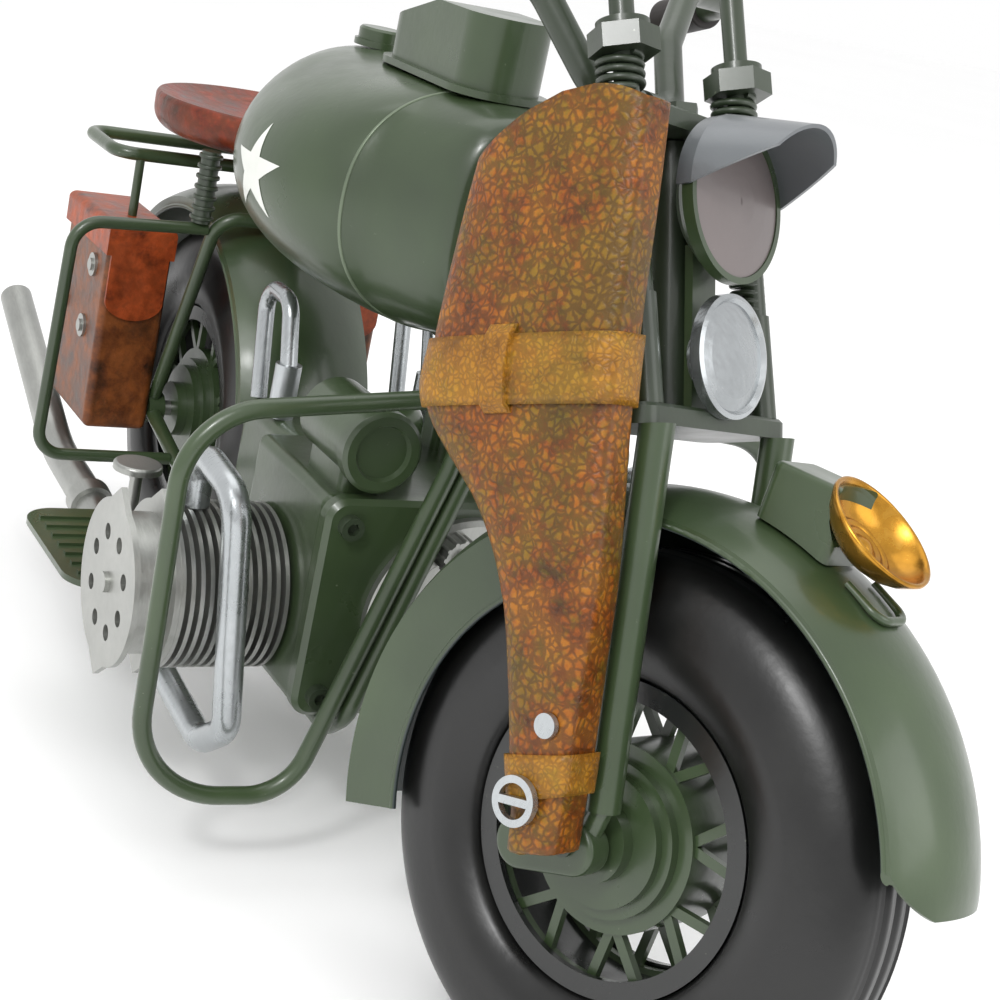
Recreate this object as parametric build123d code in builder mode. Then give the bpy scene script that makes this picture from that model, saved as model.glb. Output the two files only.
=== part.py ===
"""Sheet-metal toy motorcycle with a flat-twin engine, a sprung fork and a gun scabbard.

X points forward, Y to the rider's left and Z up.  The tyres stand on Z = 0 and X = 0 is midway
between the axles.  The fork group is drawn straight ahead and then turned about the steering axis.
All sizes are in millimetres.
"""
import math
import os

from build123d import *

# ---------------------------------------------------------------- driving sizes
WHEELBASE = 252.0
TYRE_R = 56.0
TYRE_W = 30.0
RIM_R = 32.0
RIM_W = 22.0
HUB_R = 8.0
FLANGE_R = 18.5
AXLE_R = 2.2
SPIN_FIT = 0.08
SPOKE_PAIRS = 8

RAKE = 23.0
STEER_TURN = 21.4
STEM_SETBACK = 26.0
CLAMP_T = 4.0
CLAMP_GAP = 0.35
YOKE_RUN = 56.8
GUARD_GAP = 9.5
GUARD_HALF = 17.0
GUARD_RISE = 5.5
BRIDGE_LIFT = 7.25
REAR_GUARD_HALF = 19.0
SHEET = 0.9
LEG_Y = 21.2
SLEEVE_R = 3.4
COLUMN_Y = 20.0
COLUMN_RAKE = 28.4
ROD_R = 2.4
LEG_RAKE = 14.0
LINK_T = 6.4
BAR_R = 3.0
BAR_HALF = 72.0
LAMP_RUN = 41.8
LAMP_AHEAD = 14.7
LAMP_R = 15.7
HORN_RUN = 12.2
HORN_R = 12.0
BOWL_R = 11.0
SCAB_IN = 26.6
SCAB_T = 11.0
SCAB_WALL = 1.0
STRAP_T = 1.0
STEM_R = 2.6
HEAD_R = 5.4
STEM_FIT = 0.06

CASE_LEN = 48.0
CASE_HALF = 37.0
CASE_LOW = 38.0
CASE_TOP = 89.0
CASE_REAR = -10.0
CYL_X = 8.0
CYL_Z = 57.0
FIN_R = 19.5
FIN_LEN = 27.0
FIN_COUNT = 12
FIN_T = 1.0
HEAD_PLATE_R = 22.0
HEAD_GAP = 8.0

PLATE_T = 1.4
CRANK_R = 25.0
DISC_T = 3.0
COVER_T = 4.0
PIPE_R = 3.3
MUFFLER_R = 6.0
WALL = 1.2

TANK_FRONT = 26.0
TANK_REAR = -70.0
TANK_LOW = 124.0
TANK_TOP = 177.0
TANK_HALF = 15.0
BULGE_R = 28.5
BULGE_Z = 148.0

GUARD_TUBE_R = 2.1
FRONT_BAR_X = 44.0
FRONT_BAR_Y = 75.0
REAR_BAR_X = -99.0
REAR_BAR_Y = 61.0
REAR_TUBE_R = 1.7

BAG_LEN = 41.0
BAG_THICK = 19.0
BAG_TALL = 60.0
BAG_FRONT = -121.0
BAG_LOW = 50.0
BAG_Y = 24.5
RACK_Z = 129.0
SEAT_X = -119.0
SEAT_Z = 138.0
SEAT_HALF = 34.0
STAY_Y = 22.3
STAY_R = 1.9
FRAME_R = 2.1
RAIL_Y = 27.0
RAIL_Z = 33.4
PIN_R = 1.6
PIN_FIT = 0.06
STAND_X = 0.0
FOOT_Z = 45.0

AXLE_Z = TYRE_R
FRONT_X = WHEELBASE / 2
REAR_X = -WHEELBASE / 2
GUARD_R = TYRE_R + GUARD_GAP + GUARD_RISE / 2
TILT = math.radians(RAKE)
STEER_POINT = Vector(FRONT_X - STEM_SETBACK, 0, AXLE_Z + GUARD_R + BRIDGE_LIFT)
STEER_DIR = Vector(-math.sin(TILT), 0, math.cos(TILT))
STEER_AHEAD = Vector(math.cos(TILT), 0, math.sin(TILT))
STEER_AXIS = Axis(STEER_POINT, STEER_DIR)
CASE_FRONT = CASE_REAR + CASE_LEN

PIECES = {}


# ---------------------------------------------------------------- helpers
def keep(name, piece, turned=False):
    """File a finished piece under its node name, turned with the fork where it rides on it."""
    if turned:
        piece.part = piece.part.rotate(STEER_AXIS, STEER_TURN)
    piece.part.label = name
    PIECES[name] = piece


def both_sides(right):
    """A right-hand piece together with its mirror image, for one node of two solids."""
    with BuildPart() as pair:
        add(right.part)
        mirror(right.part, about=Plane.XZ)
    return pair


def clamp_point(run, ahead=0.0, side=0.0):
    """A point so far up the steering axis from the lower bridge, ahead of it and across."""
    return STEER_POINT + STEER_DIR * run + STEER_AHEAD * ahead + Vector(0, side, 0)


def clamp_plane(run, ahead=0.0, side=0.0):
    """A plane across the steering axis: local x is ahead and local y is to the left."""
    return Plane(clamp_point(run, ahead, side), x_dir=STEER_AHEAD, z_dir=STEER_DIR)


def lamp_plane(run):
    """The middle plane of a lamp on the fork: local x is ahead, local y is up the steering axis."""
    return Plane(clamp_point(run), x_dir=STEER_AHEAD, z_dir=(0, -1, 0))


def side_plane(x, y, z):
    """A plane across Y, seen from the right: local x is forward and local y is up."""
    return Plane((x, y, z), x_dir=(1, 0, 0), z_dir=(0, -1, 0))


def front_plane(x, y=0.0, z=0.0):
    """A plane across X, seen from the front: local x is to the left and local y is up."""
    return Plane((x, y, z), x_dir=(0, 1, 0), z_dir=(1, 0, 0))


def ring_plane(cx, angle):
    """A half-plane through a wheel's axle line: local x is radial and local y runs across."""
    turn = math.radians(angle)
    return Plane((cx, 0, AXLE_Z), x_dir=(math.cos(turn), 0, math.sin(turn)),
                 z_dir=(-math.sin(turn), 0, math.cos(turn)))


def bent_tube(points, radius, bend):
    """A round bar along straight runs joined by arcs."""
    with BuildPart() as tube:
        with BuildLine() as path:
            FilletPolyline(*points, radius=bend)
        with BuildSketch(Plane(path.line @ 0, z_dir=path.line % 0)):
            Circle(radius)
        sweep(path=path.line)
    return tube.part


def rod(start, end, radius):
    """A straight round bar between two points."""
    start, end = Vector(*start), Vector(*end)
    with BuildPart() as bar:
        with BuildSketch(Plane(start, z_dir=end - start)):
            Circle(radius)
        extrude(amount=(end - start).length)
    return bar.part


def coil(start, end, radius, wire, turns):
    """A short stiff spring: one closed ring for each turn, on a thin core."""
    start, end = Vector(*start), Vector(*end)
    run = (end - start).length
    frame = Plane(start, z_dir=end - start)
    with BuildPart() as spring:
        with BuildSketch(frame):
            Circle(radius - wire)
        extrude(amount=run)
        for turn in range(turns):
            with BuildSketch(frame.offset(run * (turn + 0.5) / turns - wire * 0.8)):
                Circle(radius)
            extrude(amount=wire * 1.6)
        fillet(spring.edges().filter_by(GeomType.CIRCLE).group_by(SortBy.RADIUS)[-1], wire * 0.6)
    return spring.part


def turned_profile(plane, axis, points):
    """A solid of revolution from a closed profile of straight edges."""
    with BuildPart() as body:
        with BuildSketch(plane):
            with BuildLine():
                Polyline(*points, close=True)
            make_face()
        revolve(axis=axis, revolution_arc=360)
    return body.part


# ---------------------------------------------------------------- wheels
def make_tyre(cx):
    """A fat tyre with a narrow flat tread and rounded shoulders."""
    with BuildPart() as tyre:
        with BuildSketch(ring_plane(cx, 0)) as section:
            with Locations(((RIM_R - 1 + TYRE_R) / 2, 0)):
                Rectangle(TYRE_R - RIM_R + 1, TYRE_W)
            fillet(section.vertices().group_by(Axis.X)[-1], 10.4)
            fillet(section.vertices().group_by(Axis.X)[0], 8.0)
        revolve(axis=Axis((cx, 0, AXLE_Z), (0, 1, 0)), revolution_arc=360)
    return tyre


def make_rim(cx):
    """A shallow channel that the tyre sits in, with its edges turned inward."""
    with BuildPart() as rim:
        with BuildSketch(ring_plane(cx, 0)):
            with Locations((RIM_R - 2, 0)):
                Rectangle(2.0, RIM_W)
            with Locations((RIM_R - 3, RIM_W / 2 - 0.8), (RIM_R - 3, 0.8 - RIM_W / 2)):
                Rectangle(4.0, 1.6)
        revolve(axis=Axis((cx, 0, AXLE_Z), (0, 1, 0)), revolution_arc=360)
    return rim


def make_spider(cx):
    """Stepped hub drums with two discs of forked flat spokes, each inside a thin ring."""
    tip = RIM_R - 3.0
    with BuildPart() as spider:
        for radius, half in ((HUB_R, 16.6), (13.2, 13.6), (15.4, 11.6), (FLANGE_R, 9.4)):
            with BuildSketch(side_plane(cx, half, AXLE_Z)):
                Circle(radius)
            extrude(amount=2 * half)
        for y in (8.4, -6.6):
            with BuildSketch(side_plane(cx, y, AXLE_Z)):
                Circle(tip)
                Circle(tip - 1.3, mode=Mode.SUBTRACT)
                for pair in range(SPOKE_PAIRS):
                    base = 360.0 / SPOKE_PAIRS * (pair + 0.5)
                    for spread in (-11.0, 11.0):
                        inner, outer = math.radians(base + spread * 0.15), math.radians(base + spread)
                        p = Vector(math.cos(inner), math.sin(inner)) * (FLANGE_R - 1.0)
                        q = Vector(math.cos(outer), math.sin(outer)) * (tip - 0.6)
                        mid, run = (p + q) * 0.5, q - p
                        lean = math.degrees(math.atan2(run.Y, run.X))
                        with Locations(Location((mid.X, mid.Y, 0), (0, 0, lean))):
                            Rectangle(run.length, 2.0)
            extrude(amount=1.8)
        with BuildSketch(side_plane(cx, 20.0, AXLE_Z)):
            Circle(AXLE_R + SPIN_FIT)
        extrude(amount=40.0, mode=Mode.SUBTRACT)
    return spider


def make_guard(cx, crest, half, spans):
    """A crowned channel of sheet over a tyre, with a rolled bead along each edge of each span."""
    shoulder = crest - GUARD_RISE
    with BuildPart() as guard:
        for start, stop, edge in spans:
            with BuildSketch(ring_plane(cx, start)):
                with BuildLine():
                    Line((edge, -half), (shoulder, -half))
                    ThreePointArc((shoulder, -half), (crest, 0), (shoulder, half))
                    Polyline((shoulder, half), (edge, half), (edge, half - SHEET),
                             (shoulder, half - SHEET))
                    ThreePointArc((shoulder, half - SHEET), (crest - SHEET, 0),
                                  (shoulder, SHEET - half))
                    Polyline((shoulder, SHEET - half), (edge, SHEET - half), (edge, -half))
                make_face()
                with Locations((edge, half - SHEET / 2), (edge, SHEET / 2 - half)):
                    Circle(0.7)
            revolve(axis=Axis((cx, 0, AXLE_Z), (0, -1, 0)), revolution_arc=stop - start)
    return guard


for end, centre, on_fork in (("front", FRONT_X, True), ("rear", REAR_X, False)):
    keep(end + "_tyre", make_tyre(centre), on_fork)
    keep(end + "_rim", make_rim(centre), on_fork)
    keep(end + "_spoked_hub", make_spider(centre), on_fork)

# ---------------------------------------------------------------- fork
SLEEVE_IN = LEG_Y - SLEEVE_R
LINK_OUT = SLEEVE_IN + 0.2 + LINK_T
with BuildPart() as front_axle:
    with BuildSketch(side_plane(FRONT_X, LINK_OUT + 1.0, AXLE_Z)):
        Circle(AXLE_R)
    extrude(amount=2 * (LINK_OUT + 1.0))
keep("front_axle", front_axle, True)

LEG_DIR = Vector(-math.sin(math.radians(LEG_RAKE)), 0, math.cos(math.radians(LEG_RAKE)))
LEG_FOOT = Vector(FRONT_X + 3.3, -LEG_Y, AXLE_Z + 8.5)
LEG_TOP = LEG_FOOT + LEG_DIR * (GUARD_R + 12)
sleeve = rod(LEG_FOOT, LEG_TOP, SLEEVE_R)
shank = rod((FRONT_X + 2.0, -LEG_Y, AXLE_Z + 1.0), LEG_FOOT + LEG_DIR, 2.3)
with BuildPart() as leg:
    add(sleeve)
    split(bisect_by=clamp_plane(-CLAMP_T / 2), keep=Keep.BOTTOM)
    add(shank)
    with BuildSketch(side_plane(FRONT_X, -SLEEVE_IN - 0.2, AXLE_Z)):
        with Locations(Location((-4.6, -2.6, 0), (0, 0, 22))):
            SlotCenterToCenter(12.5, 10.4)
    extrude(amount=LINK_T)
    fillet(leg.edges().filter_by(GeomType.CIRCLE).filter_by(
        lambda e: abs(e.radius - 5.2) < 0.01), 1.2)
    with BuildSketch(side_plane(FRONT_X, 0, AXLE_Z)):
        Circle(AXLE_R)
    extrude(amount=40.0, mode=Mode.SUBTRACT)
keep("fork_legs", both_sides(leg), True)

with BuildPart() as lower_bridge:
    with BuildSketch(clamp_plane(-CLAMP_T / 2)):
        with Locations((2.6, 0)):
            RectangleRounded(20.0, 2 * LEG_Y + 8.0, 4.0)
    extrude(amount=CLAMP_T)
    chamfer(lower_bridge.edges().group_by(Axis(STEER_POINT, STEER_DIR))[-1], 0.7)
    with BuildSketch(clamp_plane(CLAMP_T / 2)):
        Circle(STEM_R)
    extrude(amount=YOKE_RUN - CLAMP_T)
keep("lower_bridge", lower_bridge, True)

COL_DIR = Vector(-math.sin(math.radians(COLUMN_RAKE)), 0, math.cos(math.radians(COLUMN_RAKE)))
COL_BASE = Vector(FRONT_X - 18.0, -COLUMN_Y, AXLE_Z + GUARD_R + 12.0)


def column_at(height):
    """The point on the right spring column at a height above the front axle."""
    return COL_BASE + COL_DIR * ((height + AXLE_Z - COL_BASE.Z) / COL_DIR.Z)


COL_TUBE_TOP, SPRING_LOW, SPRING_TOP = 99.0, 131.5, 139.0
tube_run = rod(COL_BASE - COL_DIR * 12, column_at(COL_TUBE_TOP), 2.9)
thin_run = rod(column_at(COL_TUBE_TOP) - COL_DIR, column_at(163.0), ROD_R)
with BuildPart() as column:
    add(tube_run)
    add(thin_run)
    split(bisect_by=clamp_plane(CLAMP_T / 2), keep=Keep.TOP)
column_cut = rod(column_at(50.0), column_at(170.0), ROD_R)
keep("spring_columns", both_sides(column), True)


def on_column(low, high, radius, wire, turns):
    """A spring round the right-hand column between two heights above the front axle."""
    spring = coil(column_at(low), column_at(high), radius, wire, turns)
    with BuildPart() as bored:
        add(spring)
        add(column_cut, mode=Mode.SUBTRACT)
    return bored


YOKE_TOP_PLANE = clamp_plane(YOKE_RUN + CLAMP_T / 2)
upper_spring = on_column(SPRING_LOW, SPRING_TOP, 4.8, 0.9, 4)
lower_spring = on_column(COL_TUBE_TOP, 106.0, 3.6, 0.7, 4)
with BuildPart() as fork_springs:
    for spring in (upper_spring, lower_spring):
        add(spring.part)
        mirror(spring.part, about=Plane.XZ)
keep("fork_springs", fork_springs, True)

nut_frame = Plane(column_at(SPRING_TOP), x_dir=(0, 1, 0), z_dir=COL_DIR)
with BuildPart() as hex_nut:
    with BuildSketch(nut_frame):
        RegularPolygon(6.9, 6)
        Circle(ROD_R, mode=Mode.SUBTRACT)
    extrude(amount=4.6)
    with BuildSketch(nut_frame.offset(4.6)):
        Circle(5.2)
        Circle(ROD_R, mode=Mode.SUBTRACT)
    extrude(amount=1.6)

with BuildPart() as top_yoke:
    with BuildSketch(clamp_plane(YOKE_RUN - CLAMP_T / 2)):
        with Locations((0.5, 0)):
            RectangleRounded(18.0, 2 * COLUMN_Y + 12.0, 5.0)
    extrude(amount=CLAMP_T)
    chamfer(top_yoke.edges().group_by(Axis(STEER_POINT, STEER_DIR))[-1], 0.6)
    add(column_cut, mode=Mode.SUBTRACT)
    mirror(column_cut, about=Plane.XZ, mode=Mode.SUBTRACT)
keep("top_yoke", top_yoke, True)

with BuildPart() as fork_nuts:
    add(hex_nut.part)
    mirror(hex_nut.part, about=Plane.XZ)
    with BuildSketch(clamp_plane(YOKE_RUN + CLAMP_T / 2, 1.6)):
        RegularPolygon(4.4, 6)
    extrude(amount=3.4)
keep("fork_nuts", fork_nuts, True)

# ---------------------------------------------------------------- handlebar
BAR_LIFT = YOKE_RUN + CLAMP_T / 2 + 1.2 + BAR_R
bar_mid = clamp_point(BAR_LIFT, -8.5)
bar_side = [(bar_mid.X, 12.5, bar_mid.Z), (54.0, 21.0, 201.0), (43.0, 36.0, 214.0),
            (40.0, BAR_HALF - 14.0, 216.0), (12.0, BAR_HALF, 209.0)]
bar_points = [(x, -y, z) for x, y, z in reversed(bar_side)] + bar_side
bar_whole = bent_tube(bar_points, BAR_R, 9.0)
with BuildPart() as handlebar:
    add(bar_whole)
keep("handlebar", handlebar, True)

tip, elbow = Vector(*bar_side[-1]), Vector(*bar_side[-2])
reach = (tip - elbow).normalized()
with BuildPart() as grip:
    with BuildSketch(Plane((tip.X, -tip.Y, tip.Z), z_dir=(-reach.X, reach.Y, -reach.Z))):
        Circle(BAR_R + 1.5)
        Circle(BAR_R, mode=Mode.SUBTRACT)
    extrude(amount=20.0)
    fillet(grip.edges().filter_by(GeomType.CIRCLE).group_by(SortBy.RADIUS)[-1], 0.7)
keep("grips", both_sides(grip), True)

with BuildPart() as bar_clamp:
    with BuildSketch(side_plane(0, -1.2, 0)):
        with Locations((bar_mid.X, bar_mid.Z)):
            Circle(BAR_R + 1.2)
            Circle(BAR_R, mode=Mode.SUBTRACT)
    extrude(amount=4.5)
    split(bisect_by=YOKE_TOP_PLANE, keep=Keep.TOP)
keep("bar_clamps", both_sides(bar_clamp), True)

# ---------------------------------------------------------------- lamps and horn on the fork
lamp_axis = Axis(clamp_point(LAMP_RUN), STEER_AHEAD)
bucket = turned_profile(lamp_plane(LAMP_RUN), lamp_axis, [
    (6.3, 0), (6.3, 6.0), (8.2, 10.2), (11.0, 13.4), (13.2, 14.6), (13.2, LAMP_R),
    (LAMP_AHEAD + 0.9, LAMP_R), (LAMP_AHEAD + 0.9, LAMP_R - 1.3), (LAMP_AHEAD, LAMP_R - 1.3),
    (LAMP_AHEAD, 0)])
with BuildPart() as headlight_bucket:
    add(bucket)
    with BuildSketch(clamp_plane(CLAMP_T / 2, 7.2)):
        Rectangle(1.8, 8.0)
    extrude(amount=LAMP_RUN - CLAMP_T / 2 - 8.0)
keep("headlight_bucket", headlight_bucket, True)

lens = turned_profile(lamp_plane(LAMP_RUN), lamp_axis, [
    (LAMP_AHEAD, 0), (LAMP_AHEAD, LAMP_R - 1.35), (LAMP_AHEAD + 0.6, LAMP_R - 1.35),
    (LAMP_AHEAD + 1.1, 9.5), (LAMP_AHEAD + 1.4, 5.0), (LAMP_AHEAD + 1.5, 0)])
with BuildPart() as headlight_lens:
    add(lens)
keep("headlight_lens", headlight_lens, True)

VISOR_REACH, VISOR_DROP = 19.3, 4.6
visor_cone = turned_profile(lamp_plane(LAMP_RUN), lamp_axis, [
    (12.4, LAMP_R + 0.05), (12.4, LAMP_R + 0.85), (LAMP_AHEAD + 1.0, LAMP_R + 0.85),
    (LAMP_AHEAD + VISOR_REACH + 1, LAMP_R + 0.85 - VISOR_DROP),
    (LAMP_AHEAD + VISOR_REACH + 1, LAMP_R + 0.05 - VISOR_DROP), (LAMP_AHEAD + 1.0, LAMP_R + 0.05)])
with BuildPart() as headlight_visor:
    add(visor_cone)
    with BuildSketch(lamp_plane(LAMP_RUN)):
        with BuildLine():
            Polyline((0, 1.0), (LAMP_AHEAD + 0.5, 1.0), (LAMP_AHEAD + VISOR_REACH - 3.5, 7.0),
                     (LAMP_AHEAD + VISOR_REACH, 12.5), (LAMP_AHEAD + VISOR_REACH, 30.0),
                     (0, 30.0), close=True)
        make_face()
    extrude(amount=30.0, both=True, mode=Mode.INTERSECT)
keep("headlight_visor", headlight_visor, True)

horn_axis = Axis(clamp_point(HORN_RUN), STEER_AHEAD)
horn_body = turned_profile(lamp_plane(HORN_RUN), horn_axis, [
    (8.2, 0), (8.2, 6.0), (12.8, 8.8), (12.8, HORN_R), (15.0, HORN_R), (15.4, HORN_R - 0.9),
    (14.6, HORN_R - 1.6), (15.2, 8.0), (15.8, 4.0), (16.0, 0)])
with BuildPart() as horn:
    add(horn_body)
keep("horn", horn, True)

# ---------------------------------------------------------------- front mudguard and its lamp
TIP_ANGLE, SKIRT_ANGLE, TAIL_ANGLE = 16.0, 104.0, 201.0
front_guard_body = make_guard(FRONT_X, GUARD_R, GUARD_HALF,
                              [(TIP_ANGLE, SKIRT_ANGLE, 61.5), (SKIRT_ANGLE, TAIL_ANGLE, 50.0)])
tip_turn = math.radians(TIP_ANGLE)
tip_out = Vector(math.cos(tip_turn), 0, math.sin(tip_turn))
with BuildPart() as front_mudguard:
    add(front_guard_body.part)
    tip_plane = Plane(Vector(FRONT_X, 0, AXLE_Z) + tip_out * 56.0, x_dir=(0, 1, 0), z_dir=tip_out)
    with BuildSketch(tip_plane):
        with Locations((0, -4.0)):
            Rectangle(60.0, 34.0)
        with Locations((0, 13.0)):
            Ellipse(GUARD_HALF + 1.2, 14.5, mode=Mode.SUBTRACT)
    extrude(amount=20.0, mode=Mode.SUBTRACT)
keep("front_mudguard", front_mudguard, True)

BOWL_X, BOWL_Z = FRONT_X + 24.0, AXLE_Z + 71.9
half_turn = math.radians(45.0)
bowl_out = Vector(math.cos(half_turn), 0, math.sin(half_turn))
bowl_plane = Plane((BOWL_X, 0, BOWL_Z), x_dir=bowl_out, z_dir=(0, -1, 0))
bowl_axis = Axis((BOWL_X, 0, BOWL_Z), bowl_out)
bowl = turned_profile(bowl_plane, bowl_axis, [
    (-5.0, 0), (-5.0, 5.5), (-3.4, 8.6), (-0.8, BOWL_R - 0.5), (0, BOWL_R), (0.6, BOWL_R - 0.3),
    (0.2, BOWL_R - 1.0), (-2.6, 7.9), (-4.0, 5.0), (-4.0, 0)])
bullseye = turned_profile(bowl_plane, bowl_axis, [
    (-4.0, 0), (-4.0, 4.9), (-2.9, 4.4), (-2.1, 3.0), (-1.8, 0)])
with BuildPart() as guard_lamp:
    add(bowl)
    add(bullseye)
keep("guard_lamp", guard_lamp, True)

bowl_cut = turned_profile(bowl_plane, bowl_axis, [
    (-5.0, 0), (-5.0, 5.5), (-3.4, 8.6), (-0.8, BOWL_R - 0.5), (0, BOWL_R), (20, BOWL_R + 6), (20, 0)])
crest_cut = rod((FRONT_X, 30.0, AXLE_Z), (FRONT_X, -30.0, AXLE_Z), GUARD_R)
loop_run = bent_tube([(BOWL_X + 0.8, -5.0, BOWL_Z - 8.2), (BOWL_X + 9.5, -5.0, BOWL_Z - 11.6),
                      (BOWL_X + 9.5, 5.0, BOWL_Z - 11.6), (BOWL_X + 0.8, 5.0, BOWL_Z - 8.2)], 0.9, 3.2)
with BuildPart() as lamp_bracket:
    with BuildSketch(Plane((FRONT_X + 11.5, 0, AXLE_Z + GUARD_R - 8), z_dir=(0, 0, 1))):
        RectangleRounded(17.0, 14.0, 2.0)
    extrude(amount=19.0)
    fillet(lamp_bracket.edges().group_by(Axis.Z)[-1], 1.2)
    add(loop_run)
    add(crest_cut, mode=Mode.SUBTRACT)
    add(bowl_cut, mode=Mode.SUBTRACT)
keep("lamp_bracket", lamp_bracket, True)

# ---------------------------------------------------------------- scabbard on the right fork leg
SCAB_BACK = [(-63, 111), (-62, 98), (-60.5, 82), (-58, 70), (-55, 62), (-46, 57.5), (-36, 52),
             (-29, 45), (-23, 36), (-16.5, 26), (-11.5, 16), (-4, -2)]
SCAB_FRONT = [(6, 2), (1.5, 23), (-5, 50), (-14, 78), (-19.5, 97), (-24.5, 117), (-29, 133)]
SCAB_MOUTH = (-46.5, 129)


def scabbard_outline(shrink):
    """The scabbard's side outline in the wheel's middle plane, shrunk by a wall."""
    with BuildSketch(side_plane(FRONT_X, 0, AXLE_Z)) as outline:
        with BuildLine():
            Polyline(*SCAB_BACK, *SCAB_FRONT, SCAB_MOUTH, close=True)
        make_face()
        if shrink:
            offset(amount=-shrink, kind=Kind.INTERSECTION)
    return outline


def scabbard_block(shrink, inner, outer):
    """The outline as a solid between two distances from the wheel's middle plane."""
    face = scabbard_outline(shrink).sketch.translate((0, -inner, 0))
    with BuildPart() as block:
        extrude(face, amount=outer - inner, dir=(0, -1, 0))
    return block.part


SCAB_OUT = SCAB_IN + SCAB_T
whole = scabbard_block(0, SCAB_IN, SCAB_OUT)
cavity = scabbard_block(SCAB_WALL, SCAB_IN + SCAB_WALL, SCAB_OUT - SCAB_WALL)
with BuildPart() as scabbard:
    add(whole)
    add(cavity, mode=Mode.SUBTRACT)
    with BuildSketch(side_plane(FRONT_X, -SCAB_IN - SCAB_WALL, AXLE_Z)):
        with BuildLine():
            Polyline((-61.6, 109.5), (-61.6, 120), (-48, 137), (-30.4, 142), (-30.4, 128.5),
                     (-42, 112), close=True)
        make_face()
    extrude(amount=SCAB_T - 2 * SCAB_WALL, mode=Mode.SUBTRACT)
keep("scabbard", scabbard, True)

WIDE_BAND = [(-60.8, 77.0), (-57.4, 64.5), (-13.7, 81.0), (-17.2, 93.4)]
LOW_BAND = [(-11.9, 13.9), (-8.7, 6.2), (4.8, 13.4), (3.2, 20.8)]
with BuildPart() as scabbard_straps:
    with BuildSketch(side_plane(FRONT_X, STRAP_T - SCAB_IN, AXLE_Z)):
        with BuildLine():
            Polyline(*WIDE_BAND, close=True)
        make_face()
        with BuildLine():
            Polyline(*LOW_BAND, close=True)
        make_face()
    extrude(amount=SCAB_T + 2 * STRAP_T)
    add(whole, mode=Mode.SUBTRACT)
    with BuildSketch(side_plane(FRONT_X, -SCAB_OUT - STRAP_T, AXLE_Z)):
        with Locations(Location((-41.0, 77.2, 0), (0, 0, 18.0))):
            Rectangle(8.0, 12.4)
    extrude(amount=1.1)
keep("scabbard_straps", scabbard_straps, True)

with BuildPart() as metalwork:
    with BuildSketch(side_plane(FRONT_X, -SCAB_OUT - STRAP_T, AXLE_Z)):
        with Locations((-3.6, 8.6)):
            Circle(4.7)
            Circle(3.3, mode=Mode.SUBTRACT)
            with Locations(Location((0, 0, 0), (0, 0, 16))):
                Rectangle(8.2, 1.5)
    extrude(amount=1.5)
    with BuildSketch(side_plane(FRONT_X, -SCAB_OUT, AXLE_Z)):
        with Locations((-3.4, 23.6)):
            Circle(2.3)
    extrude(amount=1.3)
keep("scabbard_metalwork", metalwork, True)

# ---------------------------------------------------------------- frame
head_solid = rod(clamp_point(-20), clamp_point(90), HEAD_R)
with BuildPart() as head_tube:
    with BuildSketch(clamp_plane(CLAMP_T / 2 + CLAMP_GAP)):
        Circle(HEAD_R)
        Circle(STEM_R + STEM_FIT, mode=Mode.SUBTRACT)
    extrude(amount=YOKE_RUN - CLAMP_T - 2 * CLAMP_GAP)
keep("head_tube", head_tube)

GUSSET_HALF = 3.0
with BuildPart() as neck_gusset:
    with BuildSketch(side_plane(0, GUSSET_HALF, 0)):
        with BuildLine():
            Polyline((TANK_FRONT, TANK_LOW + 6), (TANK_FRONT, TANK_TOP - 8), (60, TANK_TOP - 2),
                     (84, 172), (94, 146), (72, 138), close=True)
        make_face()
    extrude(amount=2 * GUSSET_HALF)
    with BuildSketch(front_plane(TANK_FRONT, 0, (TANK_LOW + TANK_TOP) / 2)):
        RectangleRounded(18.0, 34.0, 3.0)
    extrude(amount=5.0)
    add(head_solid, mode=Mode.SUBTRACT)

BACK_Z = TANK_LOW - 2.6 - 0.2
STAY_TOP_X = -96.5
spine_tube = bent_tube([(98, 0, 139.5), (62, 0, BACK_Z), (STAY_TOP_X + STAY_R, 0, BACK_Z)], 2.6, 12.0)
with BuildPart() as backbone:
    add(neck_gusset.part)
    add(spine_tube)
    add(head_solid, mode=Mode.SUBTRACT)
keep("backbone", backbone)

cradle_run = bent_tube([
    (99, -6.2, 144), (56, -8.2, 116), (FRONT_BAR_X, -9.2, 100), (FRONT_BAR_X, -RAIL_Y, 40),
    (36, -RAIL_Y - 0.3, RAIL_Z), (-24, -RAIL_Y, RAIL_Z), (-62, -STAY_Y, 41),
    (REAR_X + 2.5, -STAY_Y, AXLE_Z - 1.0)], FRAME_R, [10, 10, 7, 7, 9, 9])
axle_boss = rod((REAR_X, -STAY_Y + 3.0, AXLE_Z), (REAR_X, -STAY_Y - 1.8, AXLE_Z), 4.6)
with BuildPart() as cradle:
    add(cradle_run)
    add(axle_boss)
    add(head_solid, mode=Mode.SUBTRACT)
    with BuildSketch(side_plane(REAR_X, 0, AXLE_Z)):
        Circle(AXLE_R)
    extrude(amount=60.0, mode=Mode.SUBTRACT)

STAND_DIR = Vector(0, math.cos(math.radians(54.7)), -math.sin(math.radians(54.7)))
STAND_PIN = Vector(STAND_X, RAIL_Y, RAIL_Z) + STAND_DIR * 7.2
STAND_AXIS_DIR = Vector(0, -STAND_DIR.Z, STAND_DIR.Y)
LUG_IN, LUG_T = 2.0, 1.8


def stand_plane(across):
    """A plane square to the side stand's pin: local y runs down the leg."""
    return Plane(STAND_PIN + STAND_AXIS_DIR * across, x_dir=(1, 0, 0), z_dir=STAND_AXIS_DIR)


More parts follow.
